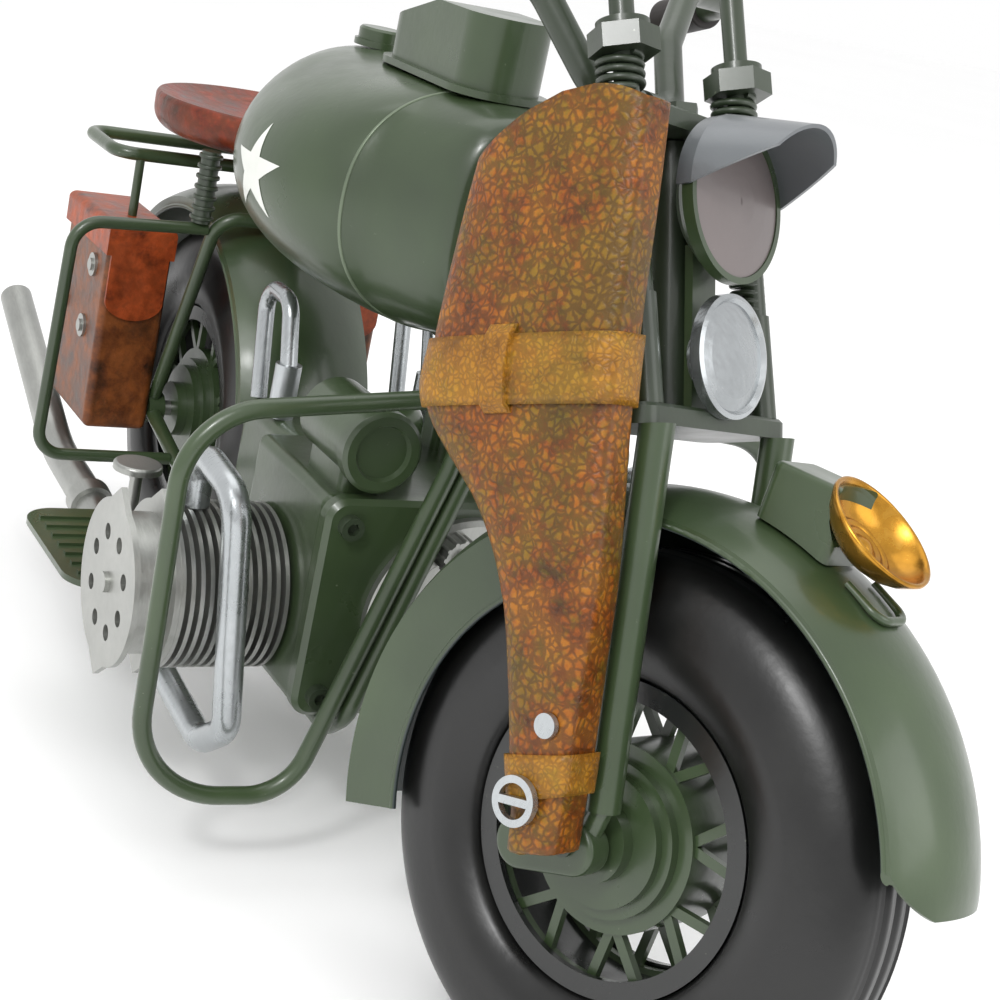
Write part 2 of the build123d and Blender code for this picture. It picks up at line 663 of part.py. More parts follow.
with BuildPart() as cradle_pair:
    add(cradle.part)
    mirror(cradle.part, about=Plane.XZ)
    with BuildSketch(stand_plane(-LUG_IN - LUG_T)):
        with Locations((0, -2.6)):
            RectangleRounded(8.4, 13.8, 3.0)
    extrude(amount=2 * (LUG_IN + LUG_T))
    with BuildSketch(stand_plane(-LUG_IN)):
        with Locations((0, 5.6)):
            Rectangle(12.0, 20.0)
    extrude(amount=2 * LUG_IN, mode=Mode.SUBTRACT)
    with BuildSketch(stand_plane(-LUG_IN - LUG_T)):
        Circle(PIN_R)
    extrude(amount=2 * (LUG_IN + LUG_T))
keep("cradle", cradle_pair)

STAND_LEN = (STAND_PIN.Z - 1.0) / -STAND_DIR.Z
stand_leg = rod(STAND_PIN + STAND_DIR * 3.0, STAND_PIN + STAND_DIR * STAND_LEN, 2.0)
with BuildPart() as side_stand:
    with BuildSketch(stand_plane(-LUG_IN + 0.15)):
        Circle(3.9)
    extrude(amount=2 * LUG_IN - 0.3)
    add(stand_leg)
    foot_at = STAND_PIN + STAND_DIR * STAND_LEN
    split(bisect_by=Plane.XY.offset(0.05), keep=Keep.TOP)
    with BuildSketch(Plane((foot_at.X, foot_at.Y, 0), z_dir=(0, 0, 1))):
        Circle(4.0)
    extrude(amount=1.4)
    with BuildSketch(stand_plane(-5.0)):
        Circle(PIN_R + PIN_FIT)
    extrude(amount=10.0, mode=Mode.SUBTRACT)
keep("side_stand", side_stand)

boss_cut = rod((REAR_X, -40.0, AXLE_Z), (REAR_X, 40.0, AXLE_Z), 4.7)
stay_run = bent_tube([(REAR_X + 1, -STAY_Y, AXLE_Z + 3), (STAY_TOP_X, -STAY_Y, BACK_Z),
                      (STAY_TOP_X, STAY_Y, BACK_Z), (REAR_X + 1, STAY_Y, AXLE_Z + 3)], STAY_R, 7.0)
with BuildPart() as seat_stays:
    add(stay_run)
    add(boss_cut, mode=Mode.SUBTRACT)
keep("seat_stays", seat_stays)

with BuildPart() as rear_axle:
    with BuildSketch(side_plane(REAR_X, STAY_Y + FRAME_R, AXLE_Z)):
        Circle(AXLE_R)
    extrude(amount=2 * (STAY_Y + FRAME_R))
keep("rear_axle", rear_axle)

front_bar = bent_tube([
    (FRONT_BAR_X, -14.0, 117.0), (FRONT_BAR_X, -FRONT_BAR_Y - 1, 110.0), (FRONT_BAR_X, -FRONT_BAR_Y, 22.0),
    (FRONT_BAR_X, -38.0, 20.5), (FRONT_BAR_X, -14.0, 100.0), (FRONT_BAR_X, -11.5, 112.0)],
    GUARD_TUBE_R, [18, 22, 13, 3])
with BuildPart() as front_guard_bar:
    add(front_bar)
    add(cradle.part, mode=Mode.SUBTRACT)
keep("front_guard_bars", both_sides(front_guard_bar))

rail_end = AXLE_Z - 1.0 - (REAR_BAR_X - REAR_X - 2.5) * (AXLE_Z - 42.0) / (-62 - REAR_X - 2.5)
rear_bar = bent_tube([
    (REAR_BAR_X, -STAY_Y - STAY_R, 117.0), (REAR_BAR_X, -REAR_BAR_Y, 115.6),
    (REAR_BAR_X, -REAR_BAR_Y - 2, rail_end), (REAR_BAR_X, -STAY_Y - FRAME_R, rail_end)],
    REAR_TUBE_R, [8, 7])
with BuildPart() as rear_guard_bar:
    add(rear_bar)
keep("rear_guard_bars", both_sides(rear_guard_bar))

# ---------------------------------------------------------------- engine
def sheet_box(low, high, wall, corner):
    """A closed sheet-metal box between two corners, with rounded edges and an empty inside."""
    size = Vector(*high) - Vector(*low)
    middle = (Vector(*high) + Vector(*low)) * 0.5
    with BuildPart() as box:
        with Locations(middle):
            Box(size.X, size.Y, size.Z)
        fillet(box.edges(), corner)
        with Locations(middle):
            Box(size.X - 2 * wall, size.Y - 2 * wall, size.Z - 2 * wall, mode=Mode.SUBTRACT)
    return box


engine_block = sheet_box((CASE_REAR, -CASE_HALF, CASE_LOW), (CASE_FRONT - COVER_T, CASE_HALF, CASE_TOP),
                         2.0, 2.5)
keep("engine_case", engine_block)

with BuildPart() as front_cover:
    with BuildSketch(front_plane(CASE_FRONT - COVER_T, 0, (CASE_LOW + CASE_TOP) / 2)):
        RectangleRounded(2 * CASE_HALF + 2, CASE_TOP - CASE_LOW + 2, 5.0)
    extrude(amount=COVER_T)
    chamfer(front_cover.edges().group_by(Axis.X)[-1], 1.2)
keep("front_cover", front_cover)

BOLT_Y, BOLT_TOP, BOLT_LOW = CASE_HALF - 4.5, CASE_TOP - 5.0, CASE_LOW + 4.6
with BuildPart() as cover_bolts:
    with BuildSketch(front_plane(CASE_FRONT)):
        for y in (-BOLT_Y, BOLT_Y):
            for z in (BOLT_LOW, BOLT_TOP):
                with Locations((y, z)):
                    Circle(2.7)
    extrude(amount=2.6)
    with BuildSketch(front_plane(CASE_FRONT + 2.6)):
        for y in (-BOLT_Y, BOLT_Y):
            for z in (BOLT_LOW, BOLT_TOP):
                with Locations((y, z)):
                    RegularPolygon(1.5, 6)
    extrude(amount=-1.6, mode=Mode.SUBTRACT)
keep("cover_bolts", cover_bolts)

DISC_Z = (CASE_LOW + CASE_TOP) / 2 - 1.5
disc_body = turned_profile(
    Plane((CASE_FRONT, 0, DISC_Z), x_dir=(1, 0, 0), z_dir=(0, -1, 0)),
    Axis((CASE_FRONT, 0, DISC_Z), (1, 0, 0)),
    [(0, 0), (0, CRANK_R), (DISC_T - 1.0, CRANK_R), (DISC_T, CRANK_R - 1.2), (DISC_T, 17.5),
     (DISC_T - 1.2, 16.5), (DISC_T - 1.2, 12.5), (DISC_T, 11.5), (DISC_T, 4.0), (DISC_T - 1, 3.0),
     (DISC_T - 1, 0)])
with BuildPart() as crank_disc:
    add(disc_body)
keep("crank_disc", crank_disc)

with BuildPart() as breather_knob:
    with BuildSketch(front_plane(CASE_FRONT + DISC_T, -7.0, DISC_Z + 17.5)):
        Circle(4.4)
        with PolarLocations(4.4, 12):
            Circle(0.5)
    extrude(amount=5.5)
    with BuildSketch(front_plane(CASE_FRONT + DISC_T + 5.5, -7.0, DISC_Z + 17.5)):
        Circle(2.4)
    extrude(amount=1.4)
keep("breather_knob", breather_knob)

CAN_Y, CAN_Z, CAN_R, CAN_LEN = 27.5, CASE_TOP + 12.0, 9.5, 30.0
can_body = turned_profile(
    Plane((CASE_FRONT, -CAN_Y, CAN_Z), x_dir=(1, 0, 0), z_dir=(0, -1, 0)),
    Axis((CASE_FRONT, -CAN_Y, CAN_Z), (1, 0, 0)),
    [(-CAN_LEN, 0), (-CAN_LEN, CAN_R - 2.5), (-CAN_LEN + 2, CAN_R - 0.8), (-4, CAN_R - 0.8),
     (-4, CAN_R), (-0.8, CAN_R), (0, CAN_R - 0.9), (0, 6.6), (-1.2, 6.0), (-1.2, 0)])
with BuildPart() as canister:
    add(can_body)
    with BuildSketch(Plane((CASE_FRONT - 17.0, -CAN_Y, CASE_TOP), z_dir=(0, 0, 1))):
        RectangleRounded(20.0, 11.0, 2.0)
    extrude(amount=6.0)

with BuildPart() as top_dome:
    with BuildSketch(Plane((CASE_REAR + 17.0, -12.5, CASE_TOP), z_dir=(0, 0, 1))):
        Circle(8.6)
    extrude(amount=15.0)
    fillet(top_dome.edges().group_by(Axis.Z)[-1], 4.5)
    with BuildSketch(Plane((CASE_REAR + 4.5, -12.5, CASE_TOP), z_dir=(0, 0, 1))):
        RectangleRounded(8.0, 14.0, 2.0)
    extrude(amount=9.0)
with BuildPart() as intake_cans:
    for can in (canister, top_dome):
        add(can.part)
        mirror(can.part, about=Plane.XZ)
keep("intake_cans", intake_cans)

CYL_IN = CASE_HALF
with BuildPart() as cylinder:
    with BuildSketch(side_plane(CYL_X, -CYL_IN, CYL_Z)):
        Circle(FIN_R - 4.5)
    extrude(amount=FIN_LEN)
    pitch = FIN_LEN / FIN_COUNT
    for fin in range(FIN_COUNT):
        with BuildSketch(side_plane(CYL_X, -CYL_IN - pitch * (fin + 1) + FIN_T, CYL_Z)):
            Circle(FIN_R)
        extrude(amount=FIN_T)
keep("cylinders", both_sides(cylinder))

PLATE_IN = CYL_IN + FIN_LEN
with BuildPart() as head_cap:
    with BuildSketch(side_plane(CYL_X, -PLATE_IN, CYL_Z)):
        Circle(FIN_R - 3.2)
    extrude(amount=HEAD_GAP + 2 * PLATE_T)
    for y in (-PLATE_IN, -PLATE_IN - HEAD_GAP - PLATE_T):
        with BuildSketch(side_plane(CYL_X, y, CYL_Z)):
            Circle(HEAD_PLATE_R - 2.6)
            with Locations((0, 0)):
                Polygon((-9.0, HEAD_PLATE_R - 6.0), (0, HEAD_PLATE_R + 1.0), (9.0, HEAD_PLATE_R - 6.0),
                        align=None)
                Polygon((-9.0, 6.0 - HEAD_PLATE_R), (9.0, 6.0 - HEAD_PLATE_R),
                        (0, -HEAD_PLATE_R - 1.0), align=None)
        extrude(amount=PLATE_T)
    with BuildSketch(side_plane(CYL_X, -PLATE_IN - HEAD_GAP - 2 * PLATE_T, CYL_Z)):
        with PolarLocations(11.5, 8, start_angle=22.5):
            Circle(1.9)
    extrude(amount=-PLATE_T - 0.8, mode=Mode.SUBTRACT)
    with BuildSketch(side_plane(CYL_X, -PLATE_IN - HEAD_GAP - 2 * PLATE_T, CYL_Z)):
        Circle(2.4)
    extrude(amount=1.2)
keep("cylinder_heads", both_sides(head_cap))

PIPE_X = CYL_X + FIN_R + PIPE_R + 1.0
pipe_run = bent_tube([
    (CYL_X, -57.0, CYL_Z + FIN_R + 0.3), (CYL_X + 1, -57.5, 90.0), (PIPE_X, -57.0, 87.5),
    (PIPE_X, -50.0, 31.0), (21.0, -51.0, 22.8), (-14.0, -52.5, 28.5), (-60.0, -47.5, 30.5)],
    PIPE_R, [6.5, 8.0, 7.0, 8.0, 20.0])
with BuildPart() as exhaust_pipe:
    add(pipe_run)
keep("exhaust_pipes", both_sides(exhaust_pipe))

tail_run = bent_tube([(-66.0, -46.8, 30.7), (-102.0, -43.5, 33.0), (-144.0, -43.0, 35.6),
                      (-210.0, -43.0, 64.0)], MUFFLER_R - 1.0, [40.0, 50.0])
join = rod((-60.4, -47.5, 30.5), (-70.0, -46.3, 31.0), MUFFLER_R - 1.8)
collar = rod((-101.0, -43.6, 33.0), (-107.0, -43.5, 33.7), MUFFLER_R + 0.4)
bore = rod((-188.0, -43.0, 54.53), (-212.0, -43.0, 64.86), MUFFLER_R - 2.0)
with BuildPart() as muffler:
    add(tail_run)
    add(join)
    add(collar)
    add(bore, mode=Mode.SUBTRACT)
keep("mufflers", both_sides(muffler))

GEAR_REAR = CASE_REAR - 46.0
gearbox = sheet_box((GEAR_REAR, 4.0 - RAIL_Y, CASE_LOW + 3), (CASE_REAR, RAIL_Y - 4.0, CASE_TOP - 5),
                    2.0, 4.0)
keep("gearbox", gearbox)

hook = bent_tube([(-53.0, -20.0, CASE_TOP - 5), (-59.5, -20.0, 113.5), (-43.0, -20.0, 113.0),
                  (-37.5, -20.0, 97.0)], 2.2, 6.0)
stub = rod((-37.5, -20.0, CASE_TOP - 5), (-37.5, -20.0, 98.0), 3.4)
with BuildPart() as crossover:
    add(hook)
    add(stub)
keep("crossover_pipes", both_sides(crossover))

# ---------------------------------------------------------------- tank
tank_spine = sheet_box((TANK_REAR, -TANK_HALF, TANK_LOW), (TANK_FRONT, TANK_HALF, TANK_TOP), WALL, 4.0)
keep("tank_body", tank_spine)

BULGE = [(3.0, 0.0), (1.6, 9.0), (-1.5, 18.0), (-8.0, 25.0), (-18.0, 28.2), (-32.0, 28.5),
         (-47.0, 25.6), (-60.0, 19.0), (-70.0, 9.5), (-74.5, 0.0)]


SEAM = 0.9


def bulge_profile(shrink):
    """The swelling's half profile, drawn in by a wall towards its middle."""
    middle, reach = (BULGE[0][0] + BULGE[-1][0]) / 2, (BULGE[0][0] - BULGE[-1][0]) / 2
    return [(middle + (x - middle) * (1 - shrink / reach), r * (BULGE_R - shrink) / 28.5)
            for x, r in BULGE]


def whole_outline(profile):
    """A half profile and its mirror image as one closed outline."""
    return profile + [(x, -r) for x, r in reversed(profile[1:-1])]


with BuildPart() as tank_bulge:
    with BuildSketch(side_plane(0, -TANK_HALF, BULGE_Z)):
        with BuildLine():
            Polyline(*bulge_profile(0.0), *reversed(bulge_profile(WALL)), close=True)
        make_face()
    revolve(axis=Axis((0, -TANK_HALF, BULGE_Z), (1, 0, 0)), revolution_arc=180)
    with BuildSketch(side_plane(0, -TANK_HALF, BULGE_Z)):
        with BuildLine():
            Polyline(*whole_outline(bulge_profile(-SEAM)), close=True)
        make_face()
        with BuildLine():
            Polyline(*whole_outline(bulge_profile(WALL / 2)), close=True)
        make_face(mode=Mode.SUBTRACT)
    extrude(amount=SEAM)
keep("tank_bulges", both_sides(tank_bulge))

with BuildPart() as filler_cap:
    with BuildSketch(Plane.XY.offset(TANK_TOP)):
        with Locations((TANK_REAR + 8.0, 0)):
            Circle(6.8)
    extrude(amount=1.6)
    with BuildSketch(Plane.XY.offset(TANK_TOP + 1.6)):
        with Locations((TANK_REAR + 8.0, 0)):
            Circle(6.0)
    extrude(amount=3.2)
    chamfer(filler_cap.edges().group_by(Axis.Z)[-1], 0.6)
keep("filler_cap", filler_cap)

DASH_X, DASH_LEN, DASH_TALL = -13.5, 52.0, 18.0
with BuildPart() as instrument_housing:
    with BuildSketch(Plane.XY.offset(TANK_TOP)):
        with Locations((DASH_X, 0)):
            RectangleRounded(DASH_LEN + 4.0, 25.0, 11.5)
    extrude(amount=1.6)
    with BuildSketch(Plane.XY.offset(TANK_TOP + 1.6)):
        with Locations((DASH_X, 0)):
            RectangleRounded(DASH_LEN, 21.0, 9.8)
    extrude(amount=DASH_TALL - 1.6)
    with BuildSketch(side_plane(0, 30.0, 0)):
        with BuildLine():
            Polyline((DASH_X - 45, TANK_TOP + 4), (DASH_X + 1.0, TANK_TOP + DASH_TALL),
                     (DASH_X + 1.0, TANK_TOP + 40), (DASH_X - 45, TANK_TOP + 40), close=True)
        make_face()
    extrude(amount=60.0, mode=Mode.SUBTRACT)
keep("instrument_housing", instrument_housing)

# ---------------------------------------------------------------- seat, rack and rear mudguard
with BuildPart() as seat:
    with BuildSketch(Plane.XY.offset(SEAT_Z)):
        with BuildSketch(mode=Mode.PRIVATE) as pan:
            with Locations((SEAT_X - 5.0, 0)):
                Circle(SEAT_HALF)
            with Locations((SEAT_X + 30.0, 0)):
                Circle(9.5)
        add(make_hull(pan.sketch.edges(), mode=Mode.PRIVATE))
    extrude(amount=11.0)
    fillet(seat.edges().group_by(Axis.Z)[0], 6.0)
    fillet(seat.edges().group_by(Axis.Z)[-1], 2.0)
    with Locations((SEAT_X - 6.0, 0, SEAT_Z + 11.0 + 116.0)):
        Sphere(121.0, mode=Mode.SUBTRACT)
keep("seat", seat)

seat_spring = coil((REAR_BAR_X, -26.3, 117.0 + REAR_TUBE_R), (REAR_BAR_X, -26.3, SEAT_Z + 0.6), 3.3, 0.7, 7)
with BuildPart() as seat_mounts:
    add(seat_spring)
    mirror(seat_spring, about=Plane.XZ)
    with BuildSketch(Plane.XY.offset(BACK_Z + 2.6)):
        with Locations((SEAT_X + 34.0, 0)):
            Circle(2.6)
    extrude(amount=SEAT_Z - BACK_Z - 2.6)
    add(seat.part, mode=Mode.SUBTRACT)
keep("seat_mounts", seat_mounts)

rear_guard_body = make_guard(REAR_X, GUARD_R, REAR_GUARD_HALF, [(18.0, 196.0, 60.0)])
keep("rear_mudguard", rear_guard_body)

RACK_FRONT, RACK_REAR, RACK_HALF = -134.0, -164.0, 41.0
with BuildPart() as rack:
    with BuildLine() as rack_path:
        FilletPolyline((RACK_REAR, -RACK_HALF, RACK_Z), (RACK_FRONT, -RACK_HALF, RACK_Z),
                       (RACK_FRONT, RACK_HALF, RACK_Z), (RACK_REAR, RACK_HALF, RACK_Z),
                       radius=6.0, close=True)
    with BuildSketch(Plane(rack_path.line @ 0, z_dir=rack_path.line % 0)):
        Circle(STAY_R)
    sweep(path=rack_path.line)
    for side in (-1, 1):
        strut = Plane((RACK_FRONT, side * 14.0, RACK_Z - 12.6), z_dir=(0, 0, 1))
        with BuildSketch(strut):
            Circle(1.5)
        extrude(amount=12.0)
        hanger = Plane((RACK_FRONT, side * 34.0, BAG_LOW + BAG_TALL + 1.2), z_dir=(0, 0, 1))
        with BuildSketch(hanger):
            Circle(1.3)
        extrude(amount=RACK_Z - BAG_LOW - BAG_TALL - 1.4)
    crown = rod((REAR_X, 30, AXLE_Z), (REAR_X, -30, AXLE_Z), GUARD_R - 2.3)
    add(crown, mode=Mode.SUBTRACT)
keep("rack", rack)

tail_turn = math.radians(152.0)
tail_out = Vector(math.cos(tail_turn), 0, math.sin(tail_turn))
tail_plane = Plane(Vector(REAR_X, 0, AXLE_Z) + tail_out * (GUARD_R - 2), x_dir=(0, 1, 0), z_dir=tail_out)
rear_crest = rod((REAR_X, 30.0, AXLE_Z), (REAR_X, -30.0, AXLE_Z), GUARD_R)
with BuildPart() as tail_lamp:
    with BuildSketch(tail_plane):
        Circle(6.5)
    extrude(amount=8.0)
    with BuildSketch(tail_plane.offset(8.0)):
        Circle(5.4)
    extrude(amount=2.4)
    fillet(tail_lamp.edges().filter_by(GeomType.CIRCLE).sort_by(Axis.X)[0], 1.6)
    add(rear_crest, mode=Mode.SUBTRACT)
keep("tail_lamp", tail_lamp)

# ---------------------------------------------------------------- saddlebags
BAG_REAR, BAG_TOP = BAG_FRONT - BAG_LEN, BAG_LOW + BAG_TALL
bag_shell = sheet_box((BAG_REAR, -BAG_Y - BAG_THICK, BAG_LOW), (BAG_FRONT, -BAG_Y, BAG_TOP), WALL, 2.2)
keep("saddlebags", both_sides(bag_shell))

FLAP_MID = -BAG_Y - BAG_THICK / 2
with BuildPart() as bag_cover:
    with Locations(((BAG_FRONT + BAG_REAR) / 2, FLAP_MID - 0.3, BAG_TOP - 3.4)):
        Box(BAG_LEN + 2.0, BAG_THICK + 1.0, 9.2)
    fillet(bag_cover.edges().group_by(Axis.Z)[-1], 2.4)
    with BuildSketch(front_plane(BAG_FRONT)):
        with Locations((FLAP_MID - 0.3, BAG_TOP - 14.0)):
            Rectangle(BAG_THICK - 2.0, 14.0)
        with Locations((FLAP_MID - 0.3, BAG_TOP - 21.0)):
            Ellipse(BAG_THICK / 2 - 1.0, 5.5)
    extrude(amount=1.0)
    add(bag_shell.part, mode=Mode.SUBTRACT)
    with Locations(((BAG_FRONT + BAG_REAR) / 2, FLAP_MID, BAG_TOP - 9.0)):
        Box(BAG_LEN - 2.0, BAG_THICK - 2.0, 17.0, mode=Mode.SUBTRACT)
keep("bag_covers", both_sides(bag_cover))

BAG_OUT = -BAG_Y - BAG_THICK
with BuildPart() as bag_stud:
    with BuildSketch(side_plane(0, BAG_OUT, 0)):
        with Locations((BAG_REAR + 6.0, BAG_LOW + 30.0), (BAG_FRONT - 14.0, BAG_LOW + 27.0),
                       (BAG_FRONT - 11.5, BAG_LOW + 46.0)):
            Circle(3.4)
    extrude(amount=0.8)
    with BuildSketch(side_plane(0, BAG_OUT - 0.8, 0)):
        with Locations((BAG_REAR + 6.0, BAG_LOW + 30.0), (BAG_FRONT - 14.0, BAG_LOW + 27.0),
                       (BAG_FRONT - 11.5, BAG_LOW + 46.0)):
            Circle(1.8)
    extrude(amount=0.7)
keep("bag_studs", both_sides(bag_stud))

# ---------------------------------------------------------------- footboards and pedals
FOOT_X = -39.5
foot_arm = rod((FOOT_X, -27.6, 37.2), (FOOT_X, -60.0, FOOT_Z - 0.4), 1.8)
with BuildPart() as footboard:
    with BuildSketch(Plane.XY.offset(FOOT_Z)):
        with Locations((FOOT_X, -60.0)):
            RectangleRounded(50.0, 31.0, 9.0)
    extrude(amount=1.6)
    for groove in range(7):
        with BuildSketch(Plane.XY.offset(FOOT_Z + 1.6)):
            with Locations((FOOT_X - 18.0 + 6.0 * groove, -60.0)):
                Rectangle(1.6, 24.0)
        extrude(amount=0.7)
    add(foot_arm)
keep("footboards", both_sides(footboard))

with BuildPart() as pedal:
    with BuildSketch(Plane((FOOT_X + 15.0, -60.0, FOOT_Z + 1.6), z_dir=(0, 0, 1))):
        Circle(1.5)
    extrude(amount=26.0)
    with BuildSketch(Plane((FOOT_X + 15.0, -60.0, FOOT_Z + 27.6), z_dir=(0, 0, 1))):
        Circle(6.0)
    extrude(amount=1.9)
    fillet(pedal.edges().group_by(Axis.Z)[-1], 0.8)
keep("pedals", both_sides(pedal))

os.makedirs("parts", exist_ok=True)
for name, piece in PIECES.items():
    export_step(piece.part, "parts/" + name + ".step")
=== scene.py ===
"""Looks for the sheet-metal toy motorcycle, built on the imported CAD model.

Everything is in metres in the CAD model's frame: X forward, Y to the rider's left, Z up.
"""
import math

import bmesh
import bpy
from bpy.props import FloatProperty, FloatVectorProperty, IntProperty, PointerProperty
from mathutils import Matrix, Vector
from mathutils.bvhtree import BVHTree


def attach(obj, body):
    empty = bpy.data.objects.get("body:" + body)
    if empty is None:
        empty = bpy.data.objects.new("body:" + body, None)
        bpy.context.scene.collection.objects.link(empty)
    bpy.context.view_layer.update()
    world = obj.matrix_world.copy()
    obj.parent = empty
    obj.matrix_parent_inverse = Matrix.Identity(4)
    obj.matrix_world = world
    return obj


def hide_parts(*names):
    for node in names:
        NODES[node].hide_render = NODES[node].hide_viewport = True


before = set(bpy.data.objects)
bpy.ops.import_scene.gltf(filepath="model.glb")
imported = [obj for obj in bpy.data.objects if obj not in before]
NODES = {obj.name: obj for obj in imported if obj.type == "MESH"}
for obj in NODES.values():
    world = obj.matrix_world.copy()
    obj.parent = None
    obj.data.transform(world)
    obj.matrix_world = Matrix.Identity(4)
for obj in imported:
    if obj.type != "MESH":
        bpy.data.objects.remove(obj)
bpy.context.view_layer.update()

bl_info = {
    "name": "Tin Toy Motorcycle",
    "version": (1, 0, 0),
    "blender": (4, 5, 0),
    "location": "View3D > Sidebar > Tin Toy",
    "description": "Dresses the tin motorcycle's frame with lacquered tank, springs, tyres and painted leather",
    "category": "Object",
}

MM = 0.001


# ---------------------------------------------------------------- small helpers
def linear(hex_code):
    """An sRGB hex colour as linear RGBA."""
    parts = [int(hex_code[i:i + 2], 16) / 255 for i in (1, 3, 5)]
    return tuple(c / 12.92 if c <= 0.04045 else ((c + 0.055) / 1.055) ** 2.4 for c in parts) + (1.0,)


def add_node(tree, kind, settings=None, inputs=None):
    """Adds a node. settings are its own options; inputs are values or the sockets that feed it."""
    node = tree.nodes.new(kind)
    for key, value in (settings or {}).items():
        setattr(node, key, value)
    for key, value in (inputs or {}).items():
        if isinstance(value, bpy.types.NodeSocket):
            tree.links.new(value, node.inputs[key])
        else:
            node.inputs[key].default_value = value
    return node


def colour_steps(node, steps):
    """Sets a colour ramp's stops from (place, hex colour) pairs."""
    ramp = node.color_ramp
    while len(ramp.elements) > 1:
        ramp.elements.remove(ramp.elements[-1])
    ramp.elements[0].position, ramp.elements[0].color = steps[0][0], linear(steps[0][1])
    for place, shade in steps[1:]:
        ramp.elements.new(place).color = linear(shade)
    return node.outputs["Color"]


def new_material(name):
    """A material with its shader and the object's own coordinates, ready for its pattern nodes."""
    material = bpy.data.materials.new(name)
    material.use_nodes = True
    tree = material.node_tree
    shader = next(n for n in tree.nodes if n.type == "BSDF_PRINCIPLED")
    where = add_node(tree, "ShaderNodeTexCoord").outputs["Object"]
    return material, tree, shader, where


def per_mm(size):
    """The pattern scale that makes one repeat this many millimetres long."""
    return 1000.0 / size


# ---------------------------------------------------------------- finishes
def sprayed_enamel(name, deep, body, lift, rough=(0.26, 0.42), metal=0.0):
    """Sprayed alkyd enamel on pressed tinplate: a soft gloss with orange peel and slow shade drift."""
    material, tree, shader, where = new_material(name)
    drift = add_node(tree, "ShaderNodeTexNoise", None, {"Vector": where, "Scale": per_mm(38), "Detail": 3.0})
    shade = add_node(tree, "ShaderNodeValToRGB", None, {"Fac": drift.outputs["Fac"]})
    base = colour_steps(shade, [(0.30, deep), (0.52, body), (0.74, lift)])
    # Nicks where the coat is thin, about 1.5 mm apart and rare.
    nicks = add_node(tree, "ShaderNodeTexNoise", None, {"Vector": where, "Scale": per_mm(1.6), "Detail": 4.0})
    rare = add_node(tree, "ShaderNodeMapRange", None, {0: nicks.outputs["Fac"], 1: 0.72, 2: 0.80, 3: 0.0, 4: 0.45})
    mixed = add_node(tree, "ShaderNodeMix", {"data_type": "RGBA"}, {0: rare.outputs[0], 6: base, 7: linear("#8b917f")})
    tree.links.new(mixed.outputs[2], shader.inputs["Base Color"])
    patches = add_node(tree, "ShaderNodeTexNoise", None, {"Vector": where, "Scale": per_mm(14), "Detail": 5.0})
    gloss = add_node(tree, "ShaderNodeMapRange", None, {0: patches.outputs["Fac"], 1: 0.3, 2: 0.7, 3: rough[0], 4: rough[1]})
    tree.links.new(gloss.outputs[0], shader.inputs["Roughness"])
    # Orange peel is about 1 mm across on sprayed enamel.
    peel = add_node(tree, "ShaderNodeTexNoise", None, {"Vector": where, "Scale": per_mm(1.9), "Detail": 2.0})
    bump = add_node(tree, "ShaderNodeBump", None, {"Strength": 0.10, "Distance": 0.0004, "Height": peel.outputs["Fac"]})
    tree.links.new(bump.outputs[0], shader.inputs["Normal"])
    shader.inputs["Metallic"].default_value = metal
    shader.inputs["IOR"].default_value = 1.5
    shader.inputs["Coat Weight"].default_value = 0.35
    shader.inputs["Coat Roughness"].default_value = 0.16
    return material


def guard_enamel(name, outside, inside, axle):
    """Green enamel outside a mudguard and a darker slate inside it as painted shade, told apart by which way the sheet
    faces the axle.
    """
    material, tree, shader, where = new_material(name)
    # Distances and directions are the mudguard's own, so the colours stay put when the wheel is steered.
    facing = next(n for n in tree.nodes if n.type == "TEX_COORD").outputs["Normal"]
    away = add_node(tree, "ShaderNodeVectorMath", {"operation": "SUBTRACT"}, {0: where, 1: axle})
    flat = add_node(tree, "ShaderNodeVectorMath", {"operation": "DOT_PRODUCT"}, {0: away.outputs[0], 1: facing})
    side = add_node(tree, "ShaderNodeMapRange", None, {0: flat.outputs["Value"], 1: -0.022, 2: -0.010, 3: 1.0, 4: 0.0})
    drift = add_node(tree, "ShaderNodeTexNoise", None, {"Vector": where, "Scale": per_mm(38), "Detail": 3.0})
    out_shade = add_node(tree, "ShaderNodeValToRGB", None, {"Fac": drift.outputs["Fac"]})
    in_shade = add_node(tree, "ShaderNodeValToRGB", None, {"Fac": drift.outputs["Fac"]})
    # Painted shade: faces turned towards the axle, inside the guard, take the darker slate colours.
    both = add_node(tree, "ShaderNodeMix", {"data_type": "RGBA"},
                    {0: side.outputs[0], 6: colour_steps(out_shade, outside), 7: colour_steps(in_shade, inside)})
    tree.links.new(both.outputs[2], shader.inputs["Base Color"])
    patches = add_node(tree, "ShaderNodeTexNoise", None, {"Vector": where, "Scale": per_mm(14), "Detail": 5.0})
    gloss = add_node(tree, "ShaderNodeMapRange", None, {0: patches.outputs["Fac"], 1: 0.3, 2: 0.7, 3: 0.28, 4: 0.42})
    tree.links.new(gloss.outputs[0], shader.inputs["Roughness"])
    peel = add_node(tree, "ShaderNodeTexNoise", None, {"Vector": where, "Scale": per_mm(1.9), "Detail": 2.0})
    bump = add_node(tree, "ShaderNodeBump", None, {"Strength": 0.10, "Distance": 0.0004, "Height": peel.outputs["Fac"]})
    tree.links.new(bump.outputs[0], shader.inputs["Normal"])
    shader.inputs["IOR"].default_value = 1.5
    shader.inputs["Coat Weight"].default_value = 0.35
    shader.inputs["Coat Roughness"].default_value = 0.16
    return material


